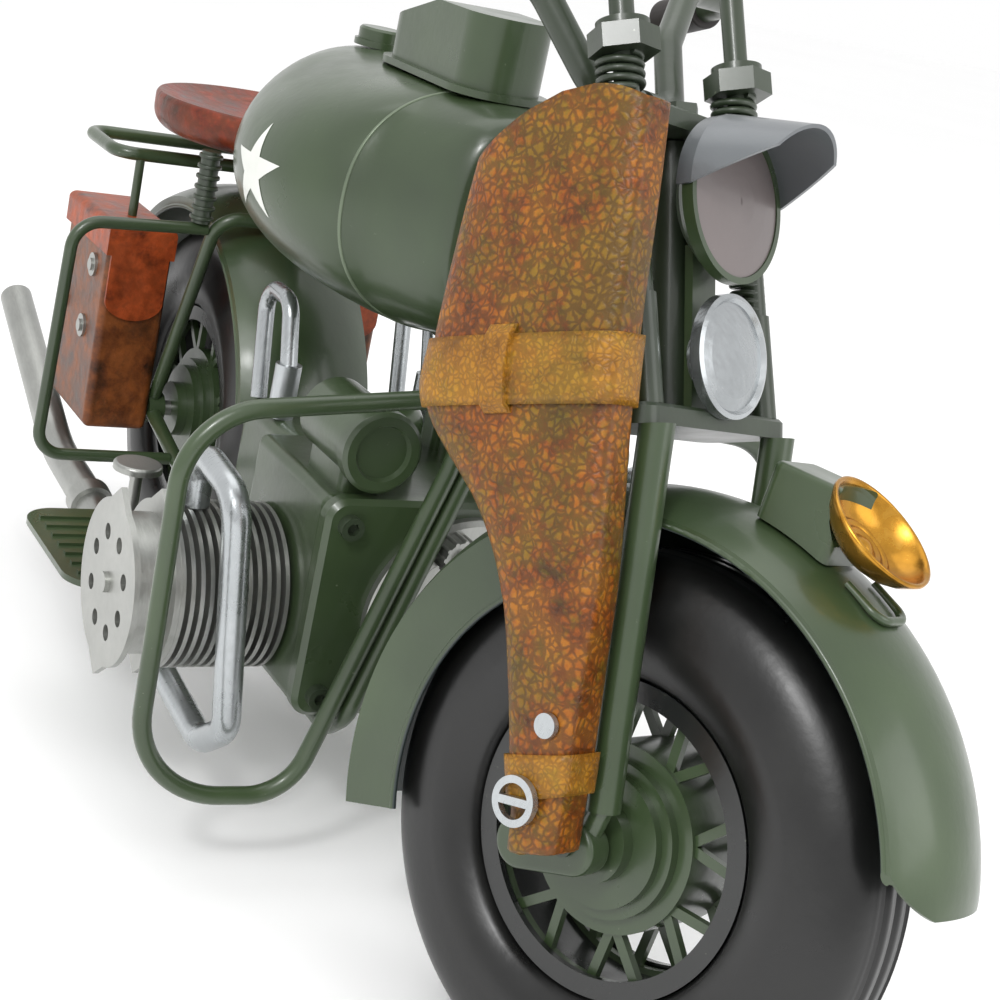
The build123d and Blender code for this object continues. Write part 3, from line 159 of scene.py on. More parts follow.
def bare_metal(name, deep, body, lift, rough, stretch):
    """Dull bare metal: fine drawn lines and cloudy handling marks, with a broad soft reflection."""
    material, tree, shader, where = new_material(name)
    laid = add_node(tree, "ShaderNodeMapping", None, {"Vector": where, "Scale": stretch})
    # Drawn lines on the real metal are under 0.1 mm; drawn at 0.6 mm so that they show.
    lines = add_node(tree, "ShaderNodeTexNoise", None, {"Vector": laid.outputs[0], "Scale": per_mm(2.4), "Detail": 5.0})
    clouds = add_node(tree, "ShaderNodeTexNoise", None, {"Vector": where, "Scale": per_mm(24), "Detail": 2.0})
    both = add_node(tree, "ShaderNodeMath", {"operation": "MULTIPLY_ADD"},
                    {0: lines.outputs["Fac"], 1: 0.3, 2: 0.0})
    total = add_node(tree, "ShaderNodeMath", {"operation": "MULTIPLY_ADD"},
                     {0: clouds.outputs["Fac"], 1: 0.7, 2: both.outputs[0]})
    shade = add_node(tree, "ShaderNodeValToRGB", None, {"Fac": total.outputs[0]})
    tree.links.new(colour_steps(shade, [(0.2, deep), (0.5, body), (0.8, lift)]), shader.inputs["Base Color"])
    gloss = add_node(tree, "ShaderNodeMapRange", None, {0: total.outputs[0], 1: 0.35, 2: 0.65, 3: rough[0], 4: rough[1]})
    tree.links.new(gloss.outputs[0], shader.inputs["Roughness"])
    bump = add_node(tree, "ShaderNodeBump", None, {"Strength": 0.12, "Distance": 0.0003, "Height": lines.outputs["Fac"]})
    tree.links.new(bump.outputs[0], shader.inputs["Normal"])
    shader.inputs["Metallic"].default_value = 0.9
    return material


def crackled_leather_paint(name, dark, tan, gold, moss, grain=2.6, moss_share=0.55, depth=0.5):
    """Brown enamel sponged over a pebbled pressing, to look like worn hide: pebbles, dark creases, ochre tops."""
    material, tree, shader, where = new_material(name)
    wobble = add_node(tree, "ShaderNodeTexNoise", None, {"Vector": where, "Scale": per_mm(4), "Detail": 3.0})
    bent = add_node(tree, "ShaderNodeMix", {"data_type": "VECTOR"}, {0: 0.0030, 4: where, 5: wobble.outputs["Color"]})
    # One pebble of the hide grain is about 2.6 mm across.
    pebble = add_node(tree, "ShaderNodeTexVoronoi", {"feature": "DISTANCE_TO_EDGE"}, {"Vector": bent.outputs[1], "Scale": per_mm(grain)})
    crease = add_node(tree, "ShaderNodeMapRange", {"interpolation_type": "SMOOTHSTEP"},
                      {0: pebble.outputs["Distance"], 1: 0.0, 2: 0.34, 3: 0.25, 4: 1.0})
    fine = add_node(tree, "ShaderNodeTexNoise", None, {"Vector": where, "Scale": per_mm(1.7), "Detail": 5.0, "Roughness": 0.7})
    sponge = add_node(tree, "ShaderNodeTexNoise", None, {"Vector": where, "Scale": per_mm(7.5), "Detail": 6.0, "Roughness": 0.65})
    shade = add_node(tree, "ShaderNodeValToRGB", None, {"Fac": sponge.outputs["Fac"]})
    base = colour_steps(shade, [(0.30, dark), (0.44, tan), (0.62, gold), (0.78, tan)])
    patch = add_node(tree, "ShaderNodeTexNoise", None, {"Vector": where, "Scale": per_mm(22), "Detail": 3.0})
    speck = add_node(tree, "ShaderNodeTexNoise", None, {"Vector": where, "Scale": per_mm(2.6), "Detail": 4.0, "Roughness": 0.7})
    blend = add_node(tree, "ShaderNodeMath", {"operation": "MULTIPLY_ADD"}, {0: speck.outputs["Fac"], 1: 0.8, 2: -0.4})
    spread = add_node(tree, "ShaderNodeMath", {"operation": "ADD"}, {0: patch.outputs["Fac"], 1: blend.outputs[0]})
    green = add_node(tree, "ShaderNodeMapRange", None, {0: spread.outputs[0], 1: 0.46, 2: 0.64, 3: 0.0, 4: moss_share})
    tinted = add_node(tree, "ShaderNodeMix", {"data_type": "RGBA"}, {0: green.outputs[0], 6: base, 7: linear(moss)})
    broken = add_node(tree, "ShaderNodeMath", {"operation": "MULTIPLY"}, {0: crease.outputs[0], 1: fine.outputs["Fac"]})
    veil = add_node(tree, "ShaderNodeMapRange", None, {0: broken.outputs[0], 1: 0.18, 2: 0.46, 3: depth, 4: 0.0})
    final = add_node(tree, "ShaderNodeMix", {"data_type": "RGBA"}, {0: veil.outputs[0], 6: tinted.outputs[2], 7: linear("#3a2410")})
    tree.links.new(final.outputs[2], shader.inputs["Base Color"])
    gloss = add_node(tree, "ShaderNodeMapRange", None, {0: sponge.outputs["Fac"], 1: 0.3, 2: 0.7, 3: 0.32, 4: 0.52})
    tree.links.new(gloss.outputs[0], shader.inputs["Roughness"])
    bump = add_node(tree, "ShaderNodeBump", None, {"Strength": 0.42, "Distance": 0.0005, "Height": broken.outputs[0]})
    tree.links.new(bump.outputs[0], shader.inputs["Normal"])
    shader.inputs["Specular IOR Level"].default_value = 0.3
    shader.inputs["Coat Weight"].default_value = 0.1
    shader.inputs["Coat Roughness"].default_value = 0.22
    return material


def moulded_rubber(name, deep, body, rough, grain):
    """Moulded black rubber: nearly black, a slow dusty bloom and a fine skin that breaks the highlight."""
    material, tree, shader, where = new_material(name)
    bloom = add_node(tree, "ShaderNodeTexNoise", None, {"Vector": where, "Scale": per_mm(17), "Detail": 6.0, "Roughness": 0.6})
    shade = add_node(tree, "ShaderNodeValToRGB", None, {"Fac": bloom.outputs["Fac"]})
    tree.links.new(colour_steps(shade, [(0.35, deep), (0.70, body)]), shader.inputs["Base Color"])
    gloss = add_node(tree, "ShaderNodeMapRange", None, {0: bloom.outputs["Fac"], 1: 0.3, 2: 0.7, 3: rough[0], 4: rough[1]})
    tree.links.new(gloss.outputs[0], shader.inputs["Roughness"])
    skin = add_node(tree, "ShaderNodeTexNoise", None, {"Vector": where, "Scale": per_mm(grain), "Detail": 3.0})
    bump = add_node(tree, "ShaderNodeBump", None, {"Strength": 0.16, "Distance": 0.0003, "Height": skin.outputs["Fac"]})
    tree.links.new(bump.outputs[0], shader.inputs["Normal"])
    shader.inputs["IOR"].default_value = 1.52
    return material


def make_finishes():
    """Every finish on the toy, by the name of the real surface."""
    return {
        "green": sprayed_enamel("olive drab enamel", "#2d3a25", "#35442b", "#3e4e32"),
        "dark": sprayed_enamel("dark green enamel", "#212a1d", "#293423", "#323e2b", (0.34, 0.5)),
        # The slate colours are painted shade inside the front mudguard.
        "guard": guard_enamel("olive enamel with painted shade inside", [(0.30, "#2d3a25"), (0.52, "#35442b"), (0.74, "#3e4e32")],
                              [(0.30, "#252e2d"), (0.52, "#2c3635"), (0.74, "#35413f")], (0.12635, -0.00203, 0.05615)),
        "black": sprayed_enamel("black enamel", "#0c0d0c", "#141615", "#1f2220", (0.22, 0.34)),
        "tyre": moulded_rubber("polished black rubber", "#0b0b0b", "#131312", (0.26, 0.40), 2.2),
        "grip": moulded_rubber("matt grip rubber", "#15110f", "#241d1a", (0.55, 0.7), 1.2),
        "steel": bare_metal("tumbled aluminium", "#8c8d8a", "#a3a4a0", "#b9bab6", (0.30, 0.42), (1.0, 5.0, 1.0)),
        "chrome": bare_metal("dull nickel plate", "#979a9c", "#adb1b3", "#c3c7c9", (0.22, 0.32), (4.0, 1.0, 1.0)),
        "lens": sprayed_enamel("mauve-silver enamel", "#6a6261", "#726968", "#7a7271", (0.36, 0.46), 0.15),
        "visor": sprayed_enamel("silver enamel", "#5e6265", "#686c6f", "#74787b", (0.34, 0.46), 0.35),
        "hide": crackled_leather_paint("crackled hide paint", "#3f1c05", "#84430a", "#9c6212", "#5f5a10", 1.7, 0.6, 0.62),
        "band": crackled_leather_paint("ochre hide paint", "#6a4410", "#936114", "#a9761c", "#706a18", 1.2, 0.35, 0.4),
        "bag": crackled_leather_paint("saddle tan enamel", "#27160b", "#5f3114", "#864a1f", "#352818", 6.5, 0.45, 0.16),
        "flap": crackled_leather_paint("russet flap enamel", "#4a1d0d", "#8c3a16", "#b04d20", "#5a2c14", 7.0, 0.35, 0.14),
        "seat": crackled_leather_paint("oxblood seat enamel", "#35100a", "#6e2312", "#8f3a1e", "#4c2c18", 5.2, 0.5, 0.25),
        "amber": bare_metal("brass lacquered amber", "#7d5518", "#b9852f", "#e0b45a", (0.2, 0.34), (1.0, 1.0, 1.0)),
        "white": sprayed_enamel("chalk white enamel", "#c9cbc4", "#dcded8", "#e9eae6", (0.4, 0.55)),
        # The seam line is painted a lighter, slightly metallic green than the tank.
        "seam": sprayed_enamel("lighter green seam line", "#55614f", "#66735d", "#7c8873", (0.3, 0.4), 0.3),
    }


FINISH_OF = {
    "green": ("tank_body tank_bulges filler_cap instrument_housing seat_stays front_guard_bars rear_guard_bars engine_case "
              "front_cover intake_cans gearbox rear_mudguard rack footboards front_spoked_hub rear_spoked_hub "
              "fork_legs headlight_bucket lamp_bracket cradle"),
    "dark": ("head_tube backbone cover_bolts seat_mounts tail_lamp front_axle lower_bridge spring_columns fork_springs "
             "fork_nuts top_yoke handlebar bar_clamps side_stand"),
    "steel": "rear_axle crank_disc breather_knob cylinders cylinder_heads mufflers pedals bag_studs",
    "chrome": "exhaust_pipes crossover_pipes horn scabbard_metalwork",
    "guard": "front_mudguard",
    "black": "front_rim rear_rim",
    "tyre": "front_tyre rear_tyre",
    "grip": "grips",
    "lens": "headlight_lens",
    "visor": "headlight_visor",
    "hide": "scabbard",
    "band": "scabbard_straps",
    "bag": "saddlebags",
    "flap": "bag_covers",
    "seat": "seat",
    "amber": "guard_lamp",
}
FINISHES = {}


def give_finish(piece, finish):
    """Puts one finish on every material slot of a piece."""
    if not FINISHES:
        FINISHES.update(make_finishes())
    if piece.data.materials:
        for place in range(len(piece.data.materials)):
            piece.data.materials[place] = FINISHES[finish]
    else:
        piece.data.materials.append(FINISHES[finish])


def new_piece(name, corners, faces, finish, smooth=True):
    """A mesh piece at the origin, with outward faces, in the scene."""
    mesh = bpy.data.meshes.new(name)
    mesh.from_pydata([tuple(c) for c in corners], [], faces)
    work = bmesh.new()
    work.from_mesh(mesh)
    bmesh.ops.remove_doubles(work, verts=work.verts, dist=1e-6)
    bmesh.ops.recalc_face_normals(work, faces=work.faces)
    work.to_mesh(mesh)
    work.free()
    for face in mesh.polygons:
        face.use_smooth = smooth
    piece = bpy.data.objects.new(name, mesh)
    bpy.context.scene.collection.objects.link(piece)
    give_finish(piece, finish)
    return piece


def settle(piece, body, finish, *nodes):
    """The piece rides on a body and stands for CAD nodes."""
    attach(piece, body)
    if nodes:
        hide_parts(*nodes)


def tree_to_mesh(tree, name, values):
    """Runs a Geometry Nodes tree with these named inputs and keeps the result as a plain mesh object."""
    carrier = bpy.data.objects.new(name + "_carrier", bpy.data.meshes.new(name + "_carrier"))
    bpy.context.scene.collection.objects.link(carrier)
    modifier = carrier.modifiers.new("Build", "NODES")
    modifier.node_group = tree
    for socket in tree.interface.items_tree:
        if socket.item_type == "SOCKET" and socket.in_out == "INPUT" and socket.name in values:
            modifier[socket.identifier] = values[socket.name]
    carrier.update_tag()
    bpy.context.view_layer.update()
    mesh = bpy.data.meshes.new_from_object(carrier.evaluated_get(bpy.context.evaluated_depsgraph_get()))
    mesh.name = name
    carrier.modifiers.clear()
    bpy.data.objects.remove(carrier)
    if not mesh.polygons:
        raise RuntimeError("The tree for " + name + " made no faces")
    return mesh


# ---------------------------------------------------------------- tank
# Each row is one cross-section: x, half width, top, bottom, squareness, all in millimetres.
TANK_RIBS = [
    (27.0, 15.5, 172.5, 127.0, 3.0), (24.5, 18.0, 175.8, 124.6, 2.8), (16.0, 22.0, 176.8, 122.6, 2.6),
    (4.5, 28.5, 177.2, 121.0, 2.35), (2.6, 32.0, 177.4, 120.2, 2.25), (-3.0, 36.4, 177.5, 119.8, 2.2),
    (-12.0, 40.8, 177.4, 119.6, 2.1), (-24.0, 43.2, 177.3, 119.5, 2.05), (-36.0, 43.0, 177.2, 119.8, 2.0),
    (-48.0, 40.4, 177.1, 121.2, 2.0), (-58.0, 35.8, 177.0, 123.8, 2.0), (-66.0, 29.6, 176.6, 127.6, 2.0),
    (-72.0, 22.0, 175.0, 132.5, 2.0), (-76.0, 12.5, 171.0, 139.0, 2.0),
]
TANK_END = (-77.4, 155.0)
ROUND = 72


def rib_ring(rib, grow=0.0):
    """The closed ring of points of one cross-section, grown outward a little if asked."""
    x, half, top, low, square = rib
    middle, tall = (top + low) / 2, (top - low) / 2
    ring = []
    for step in range(ROUND):
        turn = 2 * math.pi * step / ROUND
        across, up = math.cos(turn), math.sin(turn)
        ring.append(Vector((x, math.copysign(abs(across) ** (2 / square), across) * (half + grow),
                            middle + math.copysign(abs(up) ** (2 / square), up) * (tall + grow))) * MM)
    return ring


def between(first, second, share):
    """A cross-section part of the way from one to the next."""
    return tuple(a + (b - a) * share for a, b in zip(first, second))


class TankSettings(bpy.types.PropertyGroup):
    """Sizes of the tank's skin, seam and star."""
    seam_at: FloatProperty(name="Seam place", description="Where the seam crosses the tank, along X", default=2.2 * MM, unit="LENGTH")
    seam_half: FloatProperty(name="Seam half width", description="Half the width of the lighter green seam line", default=0.45 * MM, unit="LENGTH")
    star_size: FloatProperty(name="Star size", description="From the star's middle to a tip", default=11.5 * MM, unit="LENGTH")
    star_place: FloatVectorProperty(name="Star place", description="Middle of the star, before it is laid on the skin",
                                    default=(-35.0 * MM, -73.0 * MM, 148.0 * MM), subtype="XYZ")
    star_heading: FloatProperty(name="Star heading", description="Which way the star faces, about Z", default=math.radians(-105), subtype="ANGLE")


class TANK_OT_skin(bpy.types.Operator):
    """Lofts the tank's smooth skin through its cross-sections, with its seam and star"""
    bl_idname = "tintoy.tank"
    bl_label = "Build Tank"

    def execute(self, context):
        sizes = context.scene.tank_settings
        rings = []
        for first, second in zip(TANK_RIBS, TANK_RIBS[1:]):
            rings += [rib_ring(between(first, second, share / 3)) for share in range(3)]
        rings.append(rib_ring(TANK_RIBS[-1]))
        # The steps between control sections are eased so that the skin has no flat bands.
        for _ in range(2):
            eased = [rings[0]]
            for before, here, after in zip(rings, rings[1:], rings[2:]):
                eased.append([(a + b * 2 + c) / 4 for a, b, c in zip(before, here, after)])
            rings = eased + [rings[-1]]
        corners = [c for ring in rings for c in ring]
        faces = [(r * ROUND + s, r * ROUND + (s + 1) % ROUND, (r + 1) * ROUND + (s + 1) % ROUND, (r + 1) * ROUND + s)
                 for r in range(len(rings) - 1) for s in range(ROUND)]
        nose, tail = len(corners), len(corners) + 1
        corners += [Vector((27.6 * MM, 0, 150 * MM)), Vector((TANK_END[0] * MM, 0, TANK_END[1] * MM))]
        last = (len(rings) - 1) * ROUND
        faces += [(nose, (s + 1) % ROUND, s) for s in range(ROUND)]
        faces += [(tail, last + s, last + (s + 1) % ROUND) for s in range(ROUND)]
        skin = new_piece("tank_skin", corners, faces, "green")
        settle(skin, "frame", "green", "tank_body", "tank_bulges")

        surface = BVHTree.FromObject(skin, context.evaluated_depsgraph_get())
        self.lay_seam(surface, sizes)
        self.lay_star(surface, sizes)
        return {"FINISHED"}

    def lay_seam(self, surface, sizes):
        """A thin rolled seam round the tank, a little proud of the skin."""
        corners = []
        for x, proud in ((-sizes.seam_half, -0.25 * MM), (-sizes.seam_half * 0.5, 0.22 * MM),
                         (sizes.seam_half * 0.5, 0.22 * MM), (sizes.seam_half, -0.25 * MM)):
            for step in range(ROUND * 2):
                turn = math.pi * step / ROUND
                out = Vector((0, math.cos(turn), math.sin(turn)))
                start = Vector((sizes.seam_at + x, 0, 149 * MM))
                hit, normal, _, _ = surface.ray_cast(start + out * 0.1, -out)
                if hit is None:
                    raise RuntimeError("The seam misses the tank")
                corners.append(hit + normal * proud)
        many = ROUND * 2
        faces = [(r * many + s, r * many + (s + 1) % many, ((r + 1) % 4) * many + (s + 1) % many, ((r + 1) % 4) * many + s)
                 for r in range(4) for s in range(many)]
        settle(new_piece("tank_seam", corners, faces, "seam"), "frame", "seam")

    def lay_star(self, surface, sizes):
        """A plain five-pointed star sprayed on the tank's outer rear side, as a thin skin laid on it."""
        middle, facing = Vector(sizes.star_place), Matrix.Rotation(sizes.star_heading, 3, "Z") @ Vector((1, 0, 0))
        side, up = Vector((0, 0, 1)).cross(facing).normalized(), Vector((0, 0, 1))
        tips = []
        for step in range(10):
            reach = sizes.star_size if step % 2 == 0 else sizes.star_size * 0.382
            turn = math.pi / 2 + math.pi * step / 5
            tips.append((math.cos(turn) * reach, math.sin(turn) * reach))
        flat = bmesh.new()
        heart = flat.verts.new((0, 0, 0))
        rim = [flat.verts.new((a, b, 0)) for a, b in tips]
        for step in range(10):
            flat.faces.new((heart, rim[step], rim[(step + 1) % 10]))
        bmesh.ops.subdivide_edges(flat, edges=flat.edges, cuts=9, use_grid_fill=True)
        bmesh.ops.triangulate(flat, faces=flat.faces)
        for vert in flat.verts:
            start = middle + side * vert.co.x + up * vert.co.y
            hit, normal, _, _ = surface.ray_cast(start, -facing)
            if hit is None:
                raise RuntimeError("The star misses the tank")
            vert.co = hit + normal * 0.12 * MM
        mesh = bpy.data.meshes.new("tank_star")
        bmesh.ops.solidify(flat, geom=flat.faces, thickness=0.1 * MM)
        bmesh.ops.recalc_face_normals(flat, faces=flat.faces)
        flat.to_mesh(mesh)
        flat.free()
        star = bpy.data.objects.new("tank_star", mesh)
        bpy.context.scene.collection.objects.link(star)
        give_finish(star, "white")
        settle(star, "frame", "white")


# ---------------------------------------------------------------- the turned fork group
STEER_POINT = Vector((100.0, 0.0, 131.5)) * MM
STEER_AXIS = Vector((-0.390731, 0.0, 0.920505))
STEER_REST = math.radians(21.4)


def turned(point):
    """A point of the straight-ahead fork group, in millimetres, where the turned fork has it."""
    return Matrix.Rotation(STEER_REST, 3, STEER_AXIS) @ (Vector(point) * MM - STEER_POINT) + STEER_POINT


# ---------------------------------------------------------------- springs
class SpringSettings(bpy.types.PropertyGroup):
    """Wire of the coil springs."""
    fork_wire: FloatProperty(name="Fork spring wire", description="Thickness of the fork springs' wire", default=1.5 * MM, unit="LENGTH")
    fork_turns: FloatProperty(name="Fork spring turns", description="Turns of each fork spring", default=4.0, min=1.0)


def spring_tree():
    """A tree that winds wire round a helix and closes both ends."""
    tree = bpy.data.node_groups.new("Wound spring", "GeometryNodeTree")
    for name, kind in (("Radius", "NodeSocketFloat"), ("Height", "NodeSocketFloat"), ("Turns", "NodeSocketFloat"),
                       ("Wire", "NodeSocketFloat"), ("Finish", "NodeSocketMaterial")):
        tree.interface.new_socket(name, in_out="INPUT", socket_type=kind)
    tree.interface.new_socket("Spring", in_out="OUTPUT", socket_type="NodeSocketGeometry")
    given = add_node(tree, "NodeGroupInput").outputs
    helix = add_node(tree, "GeometryNodeCurveSpiral", None,
                     {"Resolution": 28, "Rotations": given["Turns"], "Start Radius": given["Radius"],
                      "End Radius": given["Radius"], "Height": given["Height"]})
    half = add_node(tree, "ShaderNodeMath", {"operation": "MULTIPLY"}, {0: given["Wire"], 1: 0.5})
    wire = add_node(tree, "GeometryNodeCurvePrimitiveCircle", None, {"Resolution": 10, "Radius": half.outputs[0]})
    wound = add_node(tree, "GeometryNodeCurveToMesh", None,
                     {"Curve": helix.outputs[0], "Profile Curve": wire.outputs[0], "Fill Caps": True})
    real = add_node(tree, "GeometryNodeRealizeInstances", None, {0: wound.outputs[0]})
    done = add_node(tree, "GeometryNodeSetMaterial", None, {"Geometry": real.outputs[0], "Material": given["Finish"]})
    add_node(tree, "NodeGroupOutput", None, {0: done.outputs[0]})
    return tree


def wind_springs(name, tree, runs, radius, wire, turns, finish):
    """One piece with a wound spring for each (foot, head) run."""
    work = bmesh.new()
    for foot, head in runs:
        tall = (head - foot).length - wire
        mesh = tree_to_mesh(tree, name, {"Radius": radius - wire / 2, "Height": tall, "Turns": turns, "Wire": wire,
                                         "Finish": FINISHES[finish]})
        lift = Matrix.Translation(foot + (head - foot).normalized() * wire / 2)
        mesh.transform(lift @ (head - foot).to_track_quat("Z", "X").to_matrix().to_4x4())
        work.from_mesh(mesh)
        bpy.data.meshes.remove(mesh)
    bmesh.ops.recalc_face_normals(work, faces=work.faces)
    mesh = bpy.data.meshes.new(name)
    work.to_mesh(mesh)
    work.free()
    for face in mesh.polygons:
        face.use_smooth = True
    piece = bpy.data.objects.new(name, mesh)
    bpy.context.scene.collection.objects.link(piece)
    give_finish(piece, finish)
    return piece


def column_point(height, side):
    """A point on a fork column, at a height above the ground in millimetres, side -1 right and 1 left."""
    return turned((108.0 - 0.54068 * (height - 133.5), 20.0 * side, height))


class SPRINGS_OT_wind(bpy.types.Operator):
    """Winds the fork's four springs"""
    bl_idname = "tintoy.springs"
    bl_label = "Wind Springs"

    def execute(self, context):
        sizes = context.scene.spring_settings
        tree = spring_tree()
        upper = [(column_point(187.5, side), column_point(195.0, side)) for side in (-1, 1)]
        lower = [(column_point(155.0, side), column_point(162.0, side)) for side in (-1, 1)]
        top = wind_springs("fork_springs_upper", tree, upper, 4.8 * MM, sizes.fork_wire, sizes.fork_turns, "dark")
        settle(top, "fork", "dark", "fork_springs")
        base = wind_springs("fork_springs_lower", tree, lower, 3.6 * MM, sizes.fork_wire * 0.8, sizes.fork_turns, "dark")
        settle(base, "fork", "dark", "fork_springs")
        return {"FINISHED"}


# ---------------------------------------------------------------- scabbard
# The back and front edges of the pouch beside the straight-ahead wheel: along X from the axle, up from the axle.
BACK_EDGE = [(-4, -2), (-6.6, 6.2), (-10.6, 13.9), (-16.5, 26), (-24.5, 40), (-36, 52), (-55.9, 64.5), (-59.5, 77),
             (-62, 98), (-63, 111)]
FRONT_EDGE = [(6, 2), (3.56, 13.4), (1.97, 20.8), (-1.7, 36), (-5.6, 52), (-10.1, 66), (-14.87, 81), (-18.46, 93.4),
              (-24.5, 117), (-29, 133)]
FACE_IN, FACE_OUT = 26.8, 37.4


def edge_at(edge, place):
    """A smooth point along an edge list; place runs from 0 to its last index."""
    low = min(int(place), len(edge) - 2)
    share = place - low
    before, after = edge[max(low - 1, 0)], edge[min(low + 2, len(edge) - 1)]
    a, b = edge[low], edge[low + 1]
    point = []
    for i in range(2):
        lean_a, lean_b = (b[i] - before[i]) / 2, (after[i] - a[i]) / 2
        cube = (2 * share ** 3 - 3 * share ** 2 + 1) * a[i] + (share ** 3 - 2 * share ** 2 + share) * lean_a
        point.append(cube + (3 * share ** 2 - 2 * share ** 3) * b[i] + (share ** 3 - share ** 2) * lean_b)
    return point


def pouch_point(place, grow, u, v):
    """A point on the pouch's skin: u runs from the back edge, -1, to the front, 1, and v from the inner face to the outer."""
    back, front = edge_at(BACK_EDGE, place), edge_at(FRONT_EDGE, place)
    middle, half = [(b + f) / 2 for b, f in zip(back, front)], (front[0] - back[0]) / 2
    rise = max(0.0, min(1.0, (place - 7.5) / 1.5)) * 7.0
    dome = max(0.0, min(1.0, (place - 3.0) / 4.0)) * 1.1
    depth = (FACE_IN + FACE_OUT) / 2 + v * ((FACE_OUT - FACE_IN) / 2 + grow) + (dome * (1 - u * u) if v > 0 else 0)
    height = middle[1] + u * (front[1] - back[1]) / 2 + rise * (1 - u * u)
    return (126.0 + middle[0] + u * (half + grow), -max(depth, FACE_IN - 0.2), 56.0 + height)


def pouch_ring(place, grow, steps=64):
    """A ring round the pouch at a place along its edges, grown outward or drawn in."""
    ring = []
    for step in range(steps):
        turn = 2 * math.pi * step / steps
        along, across = math.cos(turn), math.sin(turn)
        ring.append(pouch_point(place, grow, math.copysign(abs(along) ** 0.42, along), math.copysign(abs(across) ** 0.42, across)))
    return ring


def ring_skin(rings, close_first=True, close_last=True):
    """Corners and faces of a skin through rings, with the ends closed by a fan."""
    many = len(rings[0])
    corners = [turned(c) for ring in rings for c in ring]
    faces = [(r * many + s, r * many + (s + 1) % many, (r + 1) * many + (s + 1) % many, (r + 1) * many + s)
             for r in range(len(rings) - 1) for s in range(many)]
    for first, wanted in ((0, close_first), ((len(rings) - 1) * many, close_last)):
        if wanted:
            corners.append(sum((corners[first + s] for s in range(many)), Vector()) / many)
            faces += [(len(corners) - 1, first + s, first + (s + 1) % many) for s in range(many)]
    return corners, faces


class ScabbardSettings(bpy.types.PropertyGroup):
    """Sizes of the painted scabbard."""
    wall: FloatProperty(name="Wall", description="Thickness of the pouch's sheet at its mouth, in millimetres", default=1.1, min=0.3)
    depth: FloatProperty(name="Mouth depth", description="How far the mouth is hollow, as a share of the pouch", default=0.22, min=0.05, max=0.6)
    band: FloatProperty(name="Band thickness", description="How far the bands stand off the pouch, in millimetres", default=0.9, min=0.1)
    rows: IntProperty(name="Rows", description="Rings in the pouch's skin", default=72, min=12)


class SCABBARD_OT_form(bpy.types.Operator):
    """Forms the pouch with its open mouth, its rolled rim and the two bands round it"""
    bl_idname = "tintoy.scabbard"
    bl_label = "Form Scabbard"

    def execute(self, context):
        sizes = context.scene.scabbard_settings
        last = len(BACK_EDGE) - 1
        rings = [pouch_ring(0.0, -2.0), pouch_ring(0.02, -0.5)]
        rings += [pouch_ring(0.1 + (last - 0.1) * row / sizes.rows, 0.0) for row in range(sizes.rows + 1)]
        rings.append(pouch_ring(last, -sizes.wall))
        rings += [pouch_ring(last * (1 - sizes.depth * row / 12), -sizes.wall) for row in range(1, 13)]
        corners, faces = ring_skin(rings)
        pouch = new_piece("scabbard_pouch", corners, faces, "hide")
        settle(pouch, "fork", "hide", "scabbard")
        for name, low, high in (("scabbard_wide_band", 6.0, 7.0), ("scabbard_low_band", 1.0, 2.0)):
            rows = [pouch_ring(low + (high - low) * row / 8, sizes.band) for row in range(9)]
            rows = [pouch_ring(low + 0.05, -0.3)] + rows + [pouch_ring(high - 0.05, -0.3)]
            corners, faces = ring_skin(rows, False, False)
            many = len(rows[0])
            end = (len(rows) - 1) * many
            faces += [(end + s, end + (s + 1) % many, (s + 1) % many, s) for s in range(many)]
            band = new_piece(name, corners, faces, "band")
            settle(band, "fork", "hide")
        self.sew_keeper(sizes)
        return {"FINISHED"}

    def sew_keeper(self, sizes):
        """The raised loop that keeps the wide band flat."""
        corners = []
        for place, proud in ((5.9, -0.4), (6.0, 1.0), (6.5, 1.2), (7.0, 1.0), (7.1, -0.4)):
            row = [pouch_point(place, sizes.band, u, 1.0) for u in (-0.24, -0.22, 0.02, 0.04)]
            corners.append([(c[0], c[1] - (proud if 0 < k < 3 else -0.4), c[2]) for k, c in enumerate(row)])
        rows = [c for row in corners for c in row] + [(c[0], c[1] + 1.4, c[2]) for row in corners for c in row]
        many, count = 4, len(corners)
        faces = []
        for layer in range(2):
            base = layer * many * count
            faces += [(base + r * many + k, base + r * many + k + 1, base + (r + 1) * many + k + 1, base + (r + 1) * many + k)
                      for r in range(count - 1) for k in range(many - 1)]
        low = many * count
        faces += [(k, k + 1, low + k + 1, low + k) for k in range(many - 1)]
        top = (count - 1) * many
        faces += [(top + k, top + k + 1, low + top + k + 1, low + top + k) for k in range(many - 1)]
        for k in (0, many - 1):
            faces += [(r * many + k, (r + 1) * many + k, low + (r + 1) * many + k, low + r * many + k) for r in range(count - 1)]
        keeper = new_piece("scabbard_keeper", [turned(c) for c in rows], faces, "band", smooth=False)
        bevel = keeper.modifiers.new("Soft edge", "BEVEL")
        bevel.width, bevel.segments = 0.35 * MM, 3
        settle(keeper, "fork", "hide", "scabbard_straps")


# ---------------------------------------------------------------- tyres
class TyreSettings(bpy.types.PropertyGroup):
    """Sizes of the tyre's section."""
    groove_depth: FloatProperty(name="Groove depth", description="Depth of the tread grooves, in millimetres", default=0.9, min=0.0)
    groove_gap: FloatProperty(name="Groove spacing", description="From one tread groove to the next, in millimetres", default=4.2, min=1.0)
    steps: IntProperty(name="Steps", description="Steps round the tyre", default=160, min=24)


